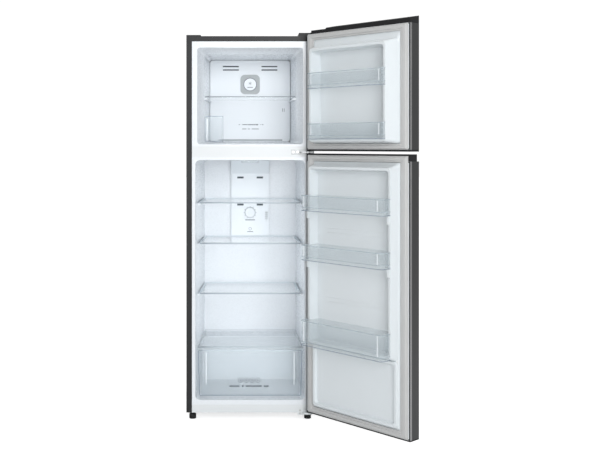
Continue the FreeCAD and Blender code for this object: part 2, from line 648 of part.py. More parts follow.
def air_duct():
    """The duct cover leans forward at the top and carries outlets and the dial."""
    duct = new_body("duct_body")
    profile = [("food_rear - 0.3", "duct_low"), ("duct_front", "duct_low"), ("duct_front", "duct_bend"),
               ("duct_top_front", "food_rear_high - 0.5"), ("food_rear - 0.3", "food_rear_high - 0.5")]
    pad(duct, sketch(duct, "YZ_Plane", (0, 0, 0), profile), "2 * duct_half", centred=True)
    hollow = [("food_rear + 1", "duct_low + 3"), ("duct_front + 2.5", "duct_low + 3"),
              ("duct_front + 2.5", "duct_bend"), ("duct_top_front + 2.5", "food_rear_high - 2.5"),
              ("food_rear + 1", "food_rear_high - 2.5")]
    inside = sketch(duct, "YZ_Plane", ("-duct_half + 2.5", 0, 0), hollow)
    pocket(duct, inside, "2 * duct_half - 5", backwards=True)
    slots = [rectangle((f"{side}duct_vent_inner", f"{side}duct_vent_outer"),
                       (level, f"{level} + duct_vent_tall"))
             for side in ("", "-") for level in ("duct_vent_low", "duct_vent_high")]
    slots += [rectangle((70, 84), (f"825 + {step}", f"828 + {step}")) for step in (0, 10, 20, 30)]
    slots.append((0, "knob_level", "pin_radius + 0.4"))
    pocket(duct, sketch(duct, "XZ_Plane", (0, "duct_top_front", 0), *slots), 60)
    keep_body(duct, "air_duct_cover")


def lamp_lens():
    """A shallow lens under the sloping ceiling of the fresh food compartment."""
    ceiling = "food_high - 0.2 - (food_high - food_rear_high) * {} / food_rear"
    near, far = (("lens_half", ("lens_low", ceiling.format(end))) for end in ("lens_front", "lens_back"))
    lens = wedge("lens_block", ("lens_front", "lens_back"), near, far)
    keep("lamp_lens", rounded("lens_round", lens, 3,
                              lambda edge: edge.CenterOfMass.z < size("lens_low") + 0.1))


def temperature_dial():
    """A round dial with a finger bar, on a short shaft through the duct cover."""
    dial = new_body("dial_body")
    turn = sketch(dial, "YZ_Plane", (0, 0, "knob_level"),
                  [("duct_front - 12", 0), ("duct_front - 12", "knob_radius - 2"),
                   ("duct_front - 10", "knob_radius"), ("duct_front - 0.4", "knob_radius"),
                   ("duct_front - 0.4", "pin_radius"), ("duct_front + 8", "pin_radius"),
                   ("duct_front + 8", 0)])
    revolve(dial, turn, "H_Axis")
    bar = sketch(dial, "XZ_Plane", (0, "duct_front - 18", "knob_level"),
                 rectangle(3.5, ("-(knob_radius - 3)", "knob_radius - 3")))
    pad(dial, bar, 7, backwards=True)
    keep_body(dial, "temperature_dial")


def shelf(name, level, front, back, half, back_half, rim="shelf_rim"):
    """A glass plate in a moulded frame; both narrow towards the back, like the compartment."""
    height = (f"{level} - shelf_thick", level)
    sections = [(half, height), (back_half, height)]
    frame = wedge(name + "_outside", (front, back), *sections)
    frame = rounded(name + "_round", frame, 2, along("x", lambda middle: middle.y < size(front) + 1))
    through = (f"{level} - shelf_thick - 1", f"{level} + 1")
    hole = wedge(name + "_hole", (f"{front} + {rim}", f"{back} - {rim}"),
                 (f"{half} - {rim}", through), (f"{back_half} - {rim}", through))
    seat = (f"{level} - 0.8 - glass_thick - 0.1", f"{level} + 1")
    recess = wedge(name + "_recess", (f"{front} + 3.4", f"{back} - 3.4"),
                   (f"{half} - 3.4", seat), (f"{back_half} - 3.4", seat))
    keep(name + "_frame", cut(name + "_ring", frame, hole, recess))
    slab = (f"{level} - 0.8 - glass_thick", f"{level} - 0.8")
    plate = wedge(name + "_plate", (f"{front} + 3.6", f"{back} - 3.6"),
                  (f"{half} - 3.6", slab), (f"{back_half} - 3.6", slab))
    keep(name + "_glass", plate)


def freezer_shelf():
    """A single moulded plate with a deeper front edge and a foot at each end."""
    height = ("ice_shelf_level - 4", "ice_shelf_level")
    plate = wedge("ice_shelf_plate", ("ice_shelf_front", "ice_shelf_back"),
                  ("ice_shelf_half", height), ("ice_shelf_back_half", height))
    edge = box("ice_shelf_edge", "ice_shelf_half - 1", ("ice_shelf_front", "ice_shelf_front + 4"),
               ("ice_shelf_level - shelf_thick", "ice_shelf_level"))
    whole = fuse("ice_shelf_all", plate, edge)
    keep("freezer_shelf", rounded("ice_shelf_round", whole, 1,
                                  along("x", lambda middle: middle.y < size("ice_shelf_front") + 0.5)))


def crisper_lid():
    """The drawer's cover: a clear plate with a lip that hangs down in front."""
    height = ("crisper_lid_level - 4", "crisper_lid_level")
    plate = wedge("lid_plate", ("crisper_lid_front", "shelf_back"),
                  ("crisper_lid_half", height), ("shelf_back_half + 1", height))
    lip = box("lid_lip", "crisper_lid_half - 1", ("crisper_lid_front", "crisper_lid_front + 3"),
              ("crisper_lid_level - 13", "crisper_lid_level - 1"))
    lid = fuse("lid_all", plate, lip)
    keep("crisper_cover", rounded("lid_round", lid, 1,
                                  along("x", lambda middle: middle.y < size("crisper_lid_front") + 0.5)))


def open_tub(name, run, base, rim, wall, corner):
    """A drawer or box with sloping walls, open at the top."""
    low, high = run
    outside = wedge(name + "_outside", run, base, rim, upright=True)
    inside = wedge(name + "_inside", (f"{low} + {wall}", f"{high} + 1"),
                   grown(base, f"-{wall}"), grown(rim, f"-{wall}"), upright=True)
    return cut(name + "_tub", rounded(name + "_round", outside, corner, along("z")),
               rounded(name + "_hollow", inside, size(corner) - size(wall), along("z")))


def crisper_drawer():
    """The drawer slopes in to its base and, like the compartment, narrows towards the back."""
    def space(part, margin, high):
        base = grown(("drawer_base_half", ("drawer_front + 7", "drawer_back - 4")), f"-{margin}")
        rim = grown(("drawer_half", ("drawer_front", "drawer_back")), f"-{margin}")
        run = (f"drawer_low + {margin}", high)
        slope = rounded(f"drawer_{part}_round", wedge(f"drawer_{part}_slope", run, base, rim, upright=True),
                        size("drawer_corner") - size(margin), along("z"))
        plan = wedge(f"drawer_{part}_plan", (0, "step_front"), (f"food_half - 6 - {margin}", (0, 400)),
                     (f"food_half - 20 - {margin}", (0, 400)))
        common = doc.addObject("Part::MultiCommon", f"drawer_{part}")
        common.Shapes = [slope, plan]
        edge_level = size("drawer_low") + size(margin) + 0.5
        return rounded(f"drawer_{part}_base", common, 12 - size(margin),
                       lambda edge: edge.CenterOfMass.z < edge_level)

    keep("crisper_drawer", cut("drawer", space("outside", 0, "drawer_high"),
                               space("inside", "drawer_wall", "drawer_high + 1")))


def ice_box():
    base = (("ice_box_left + 9", "ice_box_right - 6"), ("ice_box_front + 6", "ice_box_back - 6"))
    rim = (("ice_box_left", "ice_box_right"), ("ice_box_front", "ice_box_back"))
    tub = open_tub("ice_box", ("ice_box_low", "ice_box_high"), base, rim, "ice_box_wall", 9)
    keep("ice_box", tub)


# ---- doors -------------------------------------------------------------------------------------

def door_skin(name, low, high, side_low, side_high, *spare):
    """The painted front sheet, folded back along both sides, less any spare shapes."""
    front = box(name + "_sheet", HALF, ("door_outer", "door_inner"), (low, high))
    front = rounded(name + "_bend", front, "door_radius", along("z", lambda middle: middle.y < -60))
    hollow = box(name + "_hollow", INSIDE, ("door_outer + steel", "door_inner + 1"),
                 (f"{low} - 1", f"{high} + 1"))
    hollow = rounded(name + "_inner_bend", hollow, size("door_radius") - size("steel"),
                     along("z", lambda middle: middle.y < -60))
    skin = cut(name + "_folded", front, hollow)
    trims = [box(f"{name}_trim_{number}", "cabinet_width",
                 ("door_outer + door_radius + 1", "door_inner + 1"), ends)
             for number, ends in enumerate(((f"{low} - 1", side_low), (side_high, f"{high} + 1")))]
    keep(name, cut(name + "_trimmed", skin, *trims, *spare), swings=True)


def door_slab(name, low, high, deep=("door_outer + steel", "door_inner - plastic")):
    """A block that fills the door between its skin and its liner."""
    block = box(name + "_block", INSIDE + " - 0.1", deep, (low, high))
    return rounded(name, block, size("door_radius") - size("steel") + 0.3,
                   along("z", lambda middle: middle.y < -60))


def hinge_socket(name, low, high, radius="pin_bore"):
    return rod(name, "z", ("hinge_x", "hinge_y", low), radius, f"({high}) - ({low})")


def frustum(name, run, near, far):
    """One stage of a door liner's raised border, rounded on its sloping corners."""
    return rounded(name + "_round", wedge(name, run, near, far), "dike_corner", along("y"))


def dike(name, margin, foot, shoulder):
    """The low first slope of a door liner's raised border, grown by a margin."""
    return frustum(name, (f"door_inner - 0.2 + ({margin})", 0), grown(("dike_base", foot), margin),
                   grown(("dike_lip", shoulder), margin))


def crest(name, margin, shoulder, half, top, front):
    """A raised border's second slope, up to its ridge."""
    return frustum(name, (-1, f"{front} + ({margin})"), grown(("dike_lip", shoulder), margin),
                   grown((half, top), margin))


def well(name, margin, half, top, front):
    """The hollow inside a raised border, where the bins sit."""
    low, high = top
    floor = (f"{half} - ridge - 5", (f"{low} + ridge + 6", f"{high} - ridge - 6"))
    mouth = (f"{half} - ridge", (f"{low} + ridge", f"{high} - ridge"))
    return frustum(name, (f"-4 - ({margin})", f"{front} + 2"), grown(floor, margin), grown(mouth, margin))


def ice_border(name, margin):
    """The freezer door's border without its well."""
    shoulder = ("ice_dike_low", "ice_dike_high")
    return fuse(name, dike(name + "_foot", margin, ("ice_seal_sill + 0.3", "ice_seal_lintel - 0.3"),
                           shoulder),
                crest(name + "_crest", margin, shoulder, "ice_dike_half",
                      ("ice_crest_low", "ice_crest_high"), "ice_dike_front"))


def ice_wells(name, margin):
    return [well(name, margin, "ice_dike_half", ("ice_crest_low", "ice_crest_high"), "ice_dike_front")]


def food_border(name, margin):
    """The fresh food door's border: tall beside the bins and low at the bottom."""
    return fuse(name, dike(name + "_foot", margin, ("food_seal_sill + 0.3", "food_seal_lintel - 0.3"),
                           ("food_dike_low", "food_dike_high")),
                crest(name + "_crest", margin, ("dike_split", "food_dike_high"), "food_dike_half",
                      ("dike_split + 13", "food_dike_high - 14"), "food_dike_front"),
                crest(name + "_sill", margin, ("food_dike_low", "dike_split + 1"), "low_dike_half",
                      ("food_dike_low + 2", "dike_split - 2"), "low_dike_front"))


def food_wells(name, margin):
    return [well(name + "_high", margin, "food_dike_half", ("dike_split + 13", "food_dike_high - 14"),
                 "food_dike_front"),
            well(name + "_low", margin, "low_dike_half", ("food_dike_low + 2", "dike_split - 2"),
                 "low_dike_front")]


def bin_lugs(name, ridge_half, front, levels):
    """Small rounded lugs on the border's ridge, one pair under each bin."""
    inner, outer = f"{ridge_half} - 9", f"{ridge_half} - 1"
    lugs = []
    for number, level in enumerate(levels):
        height = (f"{level} - 33", f"{level} - fit_gap")
        for side, span in (("left", (f"-({outer})", f"-({inner})")), ("right", (inner, outer))):
            label = f"{name}_{side}_{number}"
            lug = box(label, span, (f"{front} - 1", f"{front} + 11"), height)
            lugs.append(rounded(label + "_round", lug, 3, along("x", lambda middle: middle.y > 20)))
    return lugs


def door_liner(name, border, wells, low, high, extras=()):
    """A thin vacuum-formed liner: a flat rim, a hollow raised border and the wells inside it."""
    rim = box(name + "_rim", INSIDE + " - 0.1", ("door_inner - plastic", "door_inner"), (low, high))
    core = cut(name + "_core", border(name + "_core_border", "-plastic"),
               *wells(name + "_core_well", "plastic"))
    outside = fuse(name + "_outside", rim, border(name + "_border", "0"), *extras)
    keep(name, cut(name + "_formed", outside, core, *wells(name + "_well", "0")), swings=True)


def door_foam(name, border, wells, low, high, clearings):
    """Insulation that fills the door and the liner's raised border."""
    slab = door_slab(name + "_slab", low, high)
    core = cut(name + "_core", border(name + "_core_border", "-plastic - 0.1"),
               *wells(name + "_core_well", "plastic + 0.1"))
    keep(name, cut(name + "_cleared", fuse(name + "_block", slab, core), *clearings), swings=True)


def gasket(name, low, sill, lintel, high):
    """A soft frame: a flat foot, a hollow-looking magnet bead near the edge and a low inner lip."""
    edge = "cabinet_width / 2 - seal_edge"
    inner = "cabinet_width / 2 - seal_inner"

    def ring(part, outward, inward, front):
        outside = box(f"{name}_{part}_outside", f"{edge} - {outward}", ("door_inner", front),
                      (f"{low} + {outward}", f"{high} - {outward}"))
        hole = box(f"{name}_{part}_hole", f"{inner} + {inward}", ("door_inner - 1", f"{front} + 1"),
                   (f"{sill} - {inward}", f"{lintel} + {inward}"))
        return cut(f"{name}_{part}", outside, hole)

    foot = ring("foot", 0, 0, "door_inner + 3.4")
    bead = ring("bead", 3, 13.5, "seal_face")
    bead = rounded(name + "_bead_round", bead, 1.6,
                   lambda edge: edge.CenterOfMass.y > size("seal_face") - 0.1)
    lip = ring("lip", 18, 1.5, "door_inner + 5")
    keep(name, fuse(name + "_rings", foot, bead, lip), swings=True)


def top_hinge_clearance(name):
    """Room over the freezer door's top cap for the fixed hinge arm at every door angle."""
    return box(name, ("hinge_clear", "cabinet_width / 2 + 1"), ("door_outer + 7", "door_inner + 1"),
               ("ice_door_cap + 5", "ice_door_high + 1"))


def over_freezer_door(name):
    """The space over the freezer door: its top falls towards the cabinet and is low at the hinge end."""
    wide = HALF + " + 1"
    slope = wedge(name + "_slope", ("door_outer", "door_inner + 1"),
                  (wide, ("ice_door_high", "ice_door_high + 1")),
                  (wide, ("ice_cap_inner", "ice_door_high + 1")))
    end = box(name + "_end", ("hinge_end", wide), ("door_outer - 1", "door_inner + 1"),
              ("hinge_end_high", "ice_door_high + 1"))
    return fuse(name, slope, end)


def freezer_door():
    """Skin, black end caps, foam, liner with a raised border, and the magnetic gasket."""
    door_skin("freezer_door_skin", "ice_door_low", "ice_door_high", "ice_door_base", "ice_door_cap",
              over_freezer_door("ice_skin_over"))
    cap = door_slab("ice_cap_block", "ice_door_cap", "ice_door_high", ("door_outer + steel", "door_inner"))
    cap = fuse("ice_cap_all", box("ice_cap_ends", HALF, ("door_outer + door_radius + 1.1", "door_inner"),
                                  ("ice_door_cap", "ice_door_high")), cap)
    cap = cut("ice_cap_sloped", cap, over_freezer_door("ice_cap_over"))
    cap = rounded("ice_cap_round", cap, 1.5, along("x", lambda middle: middle.z > size("hinge_end_high") - 1
                                                   and middle.y > size("door_inner") - 1))
    boss = hinge_socket("ice_cap_boss", "ice_door_cap - 16", "ice_door_cap + 1", "boss_radius")
    keep("freezer_door_top_cap",
         cut("ice_cap", fuse("ice_cap_boss_all", cap, boss), top_hinge_clearance("ice_cap_clear"),
             hinge_socket("ice_cap_bore", "ice_door_cap - 14", "ice_door_high")), swings=True)
    foot = box("ice_foot_block", HALF, ("door_outer + door_radius + 1.1", "door_inner"),
               ("ice_door_low", "ice_door_base"))
    front = door_slab("ice_foot_front", "ice_door_low", "ice_door_base",
                      ("door_outer + steel", "door_inner"))
    boss = hinge_socket("ice_foot_boss", "ice_door_base - 1", "ice_door_base + 14", "boss_radius")
    keep("freezer_door_bottom_cap", cut("ice_foot", fuse("ice_foot_all", foot, front, boss),
                                        hinge_socket("ice_foot_bore", "ice_door_low - 1",
                                                     "ice_door_base + 12")),
         swings=True)
    clearings = [hinge_socket("ice_foam_top", "ice_door_cap - 16.3", "ice_door_high", "boss_radius + 0.2"),
                 hinge_socket("ice_foam_bottom", "ice_door_low", "ice_door_base + 14.3",
                              "boss_radius + 0.2")]
    door_foam("freezer_door_foam", ice_border, ice_wells, "ice_door_base", "ice_door_cap", clearings)
    door_liner("freezer_door_liner", ice_border, ice_wells, "ice_door_base", "ice_door_cap")
    gasket("freezer_door_gasket", "ice_seal_low", "ice_seal_sill", "ice_seal_lintel", "ice_seal_high")


def fridge_door():
    """Like the freezer door, with a recessed grip along its top edge."""
    door_skin("fridge_door_skin", "food_door_low", "food_door_cap", "food_door_base", "food_door_cap")
    cap = box("food_cap_block", HALF, ("door_outer + grip_depth", "door_inner"),
              ("food_door_cap", "food_door_high"))
    cap = rounded("food_cap_round", cap, 5, along("z", lambda middle: middle.y < size("door_outer") + 14))
    keep("fridge_door_top_cap", cut("food_cap", cap, hinge_socket("food_cap_bore", "food_door_high - 18",
                                                                  "food_door_high + 1")), swings=True)
    foot = box("food_foot_block", HALF, ("door_outer + door_radius + 1.1", "door_inner"),
               ("food_door_low", "food_door_base"))
    front = door_slab("food_foot_front", "food_door_low", "food_door_base",
                      ("door_outer + steel", "door_inner"))
    boss = hinge_socket("food_foot_boss", "food_door_base - 1", "food_door_base + 16", "boss_radius")
    keep("fridge_door_bottom_cap", cut("food_foot", fuse("food_foot_all", foot, front, boss),
                                       hinge_socket("food_foot_bore", "food_door_low - 1",
                                                    "food_door_base + 14")),
         swings=True)
    clearings = [hinge_socket("food_foam_bottom", "food_door_low", "food_door_base + 16.3",
                              "boss_radius + 0.2")]
    door_foam("fridge_door_foam", food_border, food_wells, "food_door_base", "food_door_cap - 0.1",
              clearings)
    lugs = bin_lugs("food_lug", "food_dike_half", "food_dike_front",
                    ("food_bin_high_low", "food_bin_mid_low"))
    door_liner("fridge_door_liner", food_border, food_wells, "food_door_base", "food_door_cap", lugs)
    gasket("fridge_door_gasket", "food_seal_low", "food_seal_sill", "food_seal_lintel", "food_seal_high")


def door_bin(name, low, top, neck_low, half, neck, ridge_front, front, corner):
    """An open bin: a narrow neck between the borders and a wider trough in front of their ridges."""
    def tub(part, wall, height, neck_height):
        trough = box(f"{name}_{part}_trough", f"{half} - {wall}",
                     (f"{ridge_front} + 0.6 + {wall}", f"{front} - {wall}"),
                     height)
        radius = size(corner) - size(wall)
        limit = size(front) - 5
        trough = rounded(f"{name}_{part}_round", trough, radius,
                         along("z", lambda middle: middle.y > limit))
        back = box(f"{name}_{part}_neck", f"{neck} - {wall}",
                   (f"bin_back + {wall}", f"{ridge_front} + 2 + {wall}"),
                   neck_height)
        return fuse(f"{name}_{part}", trough, back)

    outside = tub("outside", 0, (low, top), (neck_low, top))
    inside = tub("inside", "bin_wall", (f"{low} + bin_wall", f"{top} + 1"),
                 (f"{neck_low} + bin_wall", f"{top} + 1"))
    keep(name, cut(name + "_tub", outside, inside), swings=True)


def door_bins():
    for name, low, top in (("freezer_bin_upper", "ice_bin_high_low", "ice_bin_high_top"),
                           ("freezer_bin_lower", "ice_bin_low_low", "ice_bin_low_top")):
        door_bin(name, low, top, low + " + 14", "ice_bin_half", "ice_neck_half", "ice_dike_front",
                 "ice_bin_front", "bin_corner")
    for name, low, neck_low, top in (
            ("fridge_bin_upper", "food_bin_high_low", "food_bin_high_low", "food_bin_high_top"),
            ("fridge_bin_middle", "food_bin_mid_low", "food_bin_mid_low", "food_bin_mid_top"),
            ("bottle_rack", "rack_low", "rack_low + 23", "rack_top")):
        door_bin(name, low, top, neck_low, "food_bin_half", "food_neck_half", "food_dike_front",
                 "food_bin_front",
                 "food_bin_corner")


# ---- hinges, caps, feet and rollers ------------------------------------------------------------

def hinges():
    arm = ("hinge_x - arm_half", "hinge_x + arm_half")
    reach = ("hinge_y - arm_half", 30)
    plate = box("top_plate", ("cabinet_width / 2 - 56", "cabinet_width / 2 - 6"), (12, 76),
                ("cabinet_top", "cabinet_top + 3"))
    riser = box("top_riser", arm, (20, 30), ("cabinet_top", "cabinet_top + 8"))
    top_arm = box("top_arm", arm, reach, ("cabinet_top + 7.6", "cabinet_top + 11"))
    top_arm = rounded("top_arm_round", top_arm, 7, along("z", lambda middle: middle.y < -30))
    pin = hinge_socket("top_pin", "ice_door_cap - 11", "cabinet_top + 8", "pin_radius")
    keep("top_hinge_bracket", fuse("top_hinge", plate, riser, top_arm, pin))

    flange = box("mid_flange", ("cabinet_width / 2 - 97.5", "cabinet_width / 2 - 34.5"), (-2, 0),
                 ("food_seal_high + 1.5", "ice_seal_low - 2.5"))
    gap_low, gap_high = "food_door_high + 2.8", "ice_door_low - 2.8"
    mid_arm = box("mid_arm", ("cabinet_width / 2 - 60", "hinge_x + arm_half"), ("hinge_y - arm_half", -0.2),
                  (gap_low, gap_high))
    mid_arm = rounded("mid_arm_round", mid_arm, 8, along("z", lambda middle: middle.y < -30))
    pin = hinge_socket("mid_pin", "food_door_high - 15", "ice_door_base + 9", "pin_radius")
    washer = hinge_socket("mid_washer", "food_door_high + 0.5", "ice_door_low - 0.5", 7.5)
    keep("middle_hinge_bracket", fuse("mid_hinge", flange, mid_arm, pin, washer))

    flange = box("low_flange", ("cabinet_width / 2 - 70", "cabinet_width / 2 - 8"), (-2, 0),
                 ("cabinet_low - 9", "food_seal_low - 3"))
    low_arm = box("low_arm", ("cabinet_width / 2 - 48", "hinge_x + arm_half"), ("hinge_y - arm_half", -0.2),
                  ("cabinet_low + 5", "cabinet_low + 9.5"))
    low_arm = rounded("low_arm_round", low_arm, 8, along("z", lambda middle: middle.y < -30))
    pin = hinge_socket("low_pin", "cabinet_low + 6", "food_door_base + 11", "pin_radius")
    washer = hinge_socket("low_washer", "cabinet_low + 9", "food_door_low - 0.5", 7.5)
    keep("bottom_hinge_bracket", fuse("low_hinge", flange, low_arm, pin, washer))

    heads = [rod(f"top_screw_{y}", "z", ("cabinet_width / 2 - 46", y, "cabinet_top + 3"), 4.5, 2.4)
             for y in (24, 44, 64)]
    mid_level = "(food_seal_high + ice_seal_low) / 2"
    heads += [rod(f"front_screw_{x}_{number}", "y", (f"cabinet_width / 2 - {x}", -4.4, level), 4.5, 2.4)
              for number, (level, places) in enumerate(((mid_level, (88, 70)), ("cabinet_low - 3", (60,)),
                                                        ("cabinet_low + 10", (60,))))
              for x in places]
    keep("hinge_screws", fuse("screw_group", *heads))


def top_covers():
    """Black covers over the hinge and over the other front corner."""
    cover = box("hinge_cover_block", ("cabinet_width / 2 - 65", HALF), (0, 92),
                ("cabinet_top", "cabinet_top + 14"))
    cover = rounded("hinge_cover_round", cover, 3,
                    lambda edge: edge.CenterOfMass.z > size("cabinet_top") + 13.5)
    hollow = box("hinge_cover_hollow", ("cabinet_width / 2 - 63", "cabinet_width / 2 - 1.6"), (2, 90),
                 ("cabinet_top - 1", "cabinet_top + 12.4"))
    door = box("hinge_cover_slot", ("hinge_x - arm_half - 1", HALF), (-1, 3),
               ("cabinet_top + 6.5", "cabinet_top + 12"))
    lip = box("hinge_cover_lip", ("cabinet_width / 2 - 59.5", "cabinet_width / 2 - 32.5"), (-0.6, 0),
              ("cabinet_top - top_flange", "cabinet_top + 6"))
    keep("top_hinge_cover", fuse("hinge_cover", cut("hinge_cover_shell", cover, hollow, door), lip))
    cap = box("corner_cap_block", (f"-({HALF})", "-cabinet_width / 2 + 62"), (0, 60),
              ("cabinet_top", "cabinet_top + 5"))
    keep("top_left_cap", rounded("corner_cap", cap, 2,
                                 lambda edge: edge.CenterOfMass.z > size("cabinet_top") + 4.5))


def feet_and_rollers():
    for side, sign in (("left", "-"), ("right", "")):
        foot = new_body(f"foot_body_{side}")
        profile = [(0, 0), ("foot_radius - 1", 0), ("foot_radius", 1), ("foot_radius", "foot_high - 3"),
                   ("foot_radius - 3", "foot_high"), ("stud_radius", "foot_high"),
                   ("stud_radius", "foot_high + 34"), (0, "foot_high + 34")]
        revolve(foot, sketch(foot, "XZ_Plane", (f"{sign}foot_x", "foot_y", 0), profile))
        keep_body(foot, f"levelling_foot_{side}")

        wheel = new_body(f"roller_body_{side}")
        profile = [("-roller_wide / 2", "axle_radius + 0.3"), ("roller_wide / 2", "axle_radius + 0.3"),
                   ("roller_wide / 2", "roller_radius - 1"), ("roller_wide / 2 - 1", "roller_radius"),
                   ("-roller_wide / 2 + 1", "roller_radius"), ("-roller_wide / 2", "roller_radius - 1")]
        drawing = sketch(wheel, "XZ_Plane", (f"{sign}roller_x", "roller_y", "roller_radius"), profile)
        revolve(wheel, drawing, "H_Axis")
        keep_body(wheel, f"rear_roller_{side}")


# ---- the whole refrigerator --------------------------------------------------------------------

def build():
    write_sheet()
    for make in (cabinet_shell, back_and_base, front_frame, freezer_liner, fridge_liner, cabinet_foam,
                 evaporator_cover, air_filter, evaporator, evaporator_fan, condenser, compressor_set,
                 bay_pipes, bay_cover, air_duct, lamp_lens, temperature_dial):
        make()
    freezer_shelf()
    for place_name in ("top", "middle", "low"):
        shelf(f"fridge_shelf_{place_name}", f"shelf_{place_name}_level", "shelf_front", "shelf_back",
              "shelf_half", "shelf_back_half")
    for make in (crisper_lid, crisper_drawer, ice_box, freezer_door, fridge_door, door_bins, hinges,
                 top_covers, feet_and_rollers):
        make()
    doc.recompute()


def check_and_write():
    """Stop on anything failed or empty, then write one STEP file for each piece."""
    for thing in doc.Objects:
        if "Invalid" in thing.State or "Error" in thing.State:
            raise RuntimeError(f"{thing.Label} did not recompute: {thing.State}")
    os.makedirs("parts", exist_ok=True)
    for piece in NODES:
        if piece.Shape.isNull() or not piece.Shape.isValid() or not piece.Shape.Solids:
            raise RuntimeError(f"{piece.Label} has no sound shape")
        piece.Shape.exportStep(f"parts/{piece.Label}.step")
    print(len(NODES), "pieces written")


build()
check_and_write()
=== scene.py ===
import json
import math

import bmesh
import bpy
from mathutils import Matrix, Vector


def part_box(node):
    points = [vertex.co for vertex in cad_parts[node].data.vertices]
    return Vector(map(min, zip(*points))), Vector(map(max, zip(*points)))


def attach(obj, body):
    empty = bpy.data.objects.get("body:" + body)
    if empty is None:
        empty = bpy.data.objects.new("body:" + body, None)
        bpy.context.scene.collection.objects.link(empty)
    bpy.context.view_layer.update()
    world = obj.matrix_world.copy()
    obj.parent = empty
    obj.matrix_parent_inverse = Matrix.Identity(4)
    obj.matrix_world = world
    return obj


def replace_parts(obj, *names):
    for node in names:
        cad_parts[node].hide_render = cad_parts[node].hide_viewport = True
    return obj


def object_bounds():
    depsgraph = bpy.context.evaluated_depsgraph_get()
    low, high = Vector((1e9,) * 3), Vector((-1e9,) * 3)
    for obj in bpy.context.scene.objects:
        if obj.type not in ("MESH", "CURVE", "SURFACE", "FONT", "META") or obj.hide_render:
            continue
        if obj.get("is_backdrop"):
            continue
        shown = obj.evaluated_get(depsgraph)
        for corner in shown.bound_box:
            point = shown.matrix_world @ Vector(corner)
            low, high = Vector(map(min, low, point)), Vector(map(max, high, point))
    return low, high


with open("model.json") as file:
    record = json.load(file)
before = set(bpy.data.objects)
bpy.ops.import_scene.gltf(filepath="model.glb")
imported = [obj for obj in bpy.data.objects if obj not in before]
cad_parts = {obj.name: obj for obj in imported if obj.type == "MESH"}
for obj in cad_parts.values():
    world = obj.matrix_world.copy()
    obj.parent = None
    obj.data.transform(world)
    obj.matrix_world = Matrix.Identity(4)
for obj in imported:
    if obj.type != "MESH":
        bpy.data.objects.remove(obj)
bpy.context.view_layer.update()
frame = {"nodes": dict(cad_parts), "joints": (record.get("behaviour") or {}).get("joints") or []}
nodes = frame["nodes"]
scene = bpy.context.scene
MM = 0.001
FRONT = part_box("cabinet_shell")[0].y


# ---- materials --------------------------------------------------------------------------------

FINE_SHARE, SLOW_SHARE = 0.35, 0.65
GLOSS_SPREAD = 0.06
BRUSHED = (1, 1, 0.012)


def material(name, colour, rough, vary=0.05, patch=5.0, grain=350.0, bump=0.08, depth=0.0003,
             stretch=(1, 1, 1), **fixed):
    """A surface with slow colour patches, fine grain in its gloss and a fine bump.

    colour is the mean colour and vary how far the patches stray from it. stretch draws patches
    and grain out along an axis. fixed sets shader sockets.
    """
    made = bpy.data.materials.new(name)
    made.use_nodes = True
    tree = made.node_tree
    shader = tree.nodes["Principled BSDF"]
    link = tree.links.new
    place = tree.nodes.new("ShaderNodeTexCoord")

    def noise(scale, detail):
        mapping = tree.nodes.new("ShaderNodeMapping")
        mapping.inputs["Scale"].default_value = stretch
        texture = tree.nodes.new("ShaderNodeTexNoise")
        texture.inputs["Scale"].default_value = scale
        texture.inputs["Detail"].default_value = detail
        link(place.outputs["Object"], mapping.inputs["Vector"])
        link(mapping.outputs["Vector"], texture.inputs["Vector"])
        return texture.outputs["Fac"]

    slow, fine = noise(patch, 3), noise(grain, 2)

    blend = tree.nodes.new("ShaderNodeMix")
    blend.data_type = "RGBA"
    blend.inputs["A"].default_value = (*(c * (1 - vary) for c in colour), 1)
    blend.inputs["B"].default_value = (*(c * (1 + vary) for c in colour), 1)
    mixed = tree.nodes.new("ShaderNodeMath")
    mixed.operation = "MULTIPLY_ADD"
    mixed.inputs[1].default_value = FINE_SHARE
    link(fine, mixed.inputs[0])
    slow_part = tree.nodes.new("ShaderNodeMath")
    slow_part.operation = "MULTIPLY"
    slow_part.inputs[1].default_value = SLOW_SHARE
    link(slow, slow_part.inputs[0])
    link(slow_part.outputs["Value"], mixed.inputs[2])
    link(mixed.outputs["Value"], blend.inputs["Factor"])
    link(blend.outputs["Result"], shader.inputs["Base Color"])

    gloss = tree.nodes.new("ShaderNodeMapRange")
    gloss.inputs["To Min"].default_value = max(rough - GLOSS_SPREAD, 0.02)
    gloss.inputs["To Max"].default_value = rough + GLOSS_SPREAD
    link(fine, gloss.inputs["Value"])
    link(gloss.outputs["Result"], shader.inputs["Roughness"])

    if bump:
        relief = tree.nodes.new("ShaderNodeBump")
        relief.inputs["Strength"].default_value = bump
        relief.inputs["Distance"].default_value = depth
        link(fine, relief.inputs["Height"])
        link(relief.outputs["Normal"], shader.inputs["Normal"])
    for socket, value in fixed.items():
        shader.inputs[socket.replace("_", " ")].default_value = value
    return made


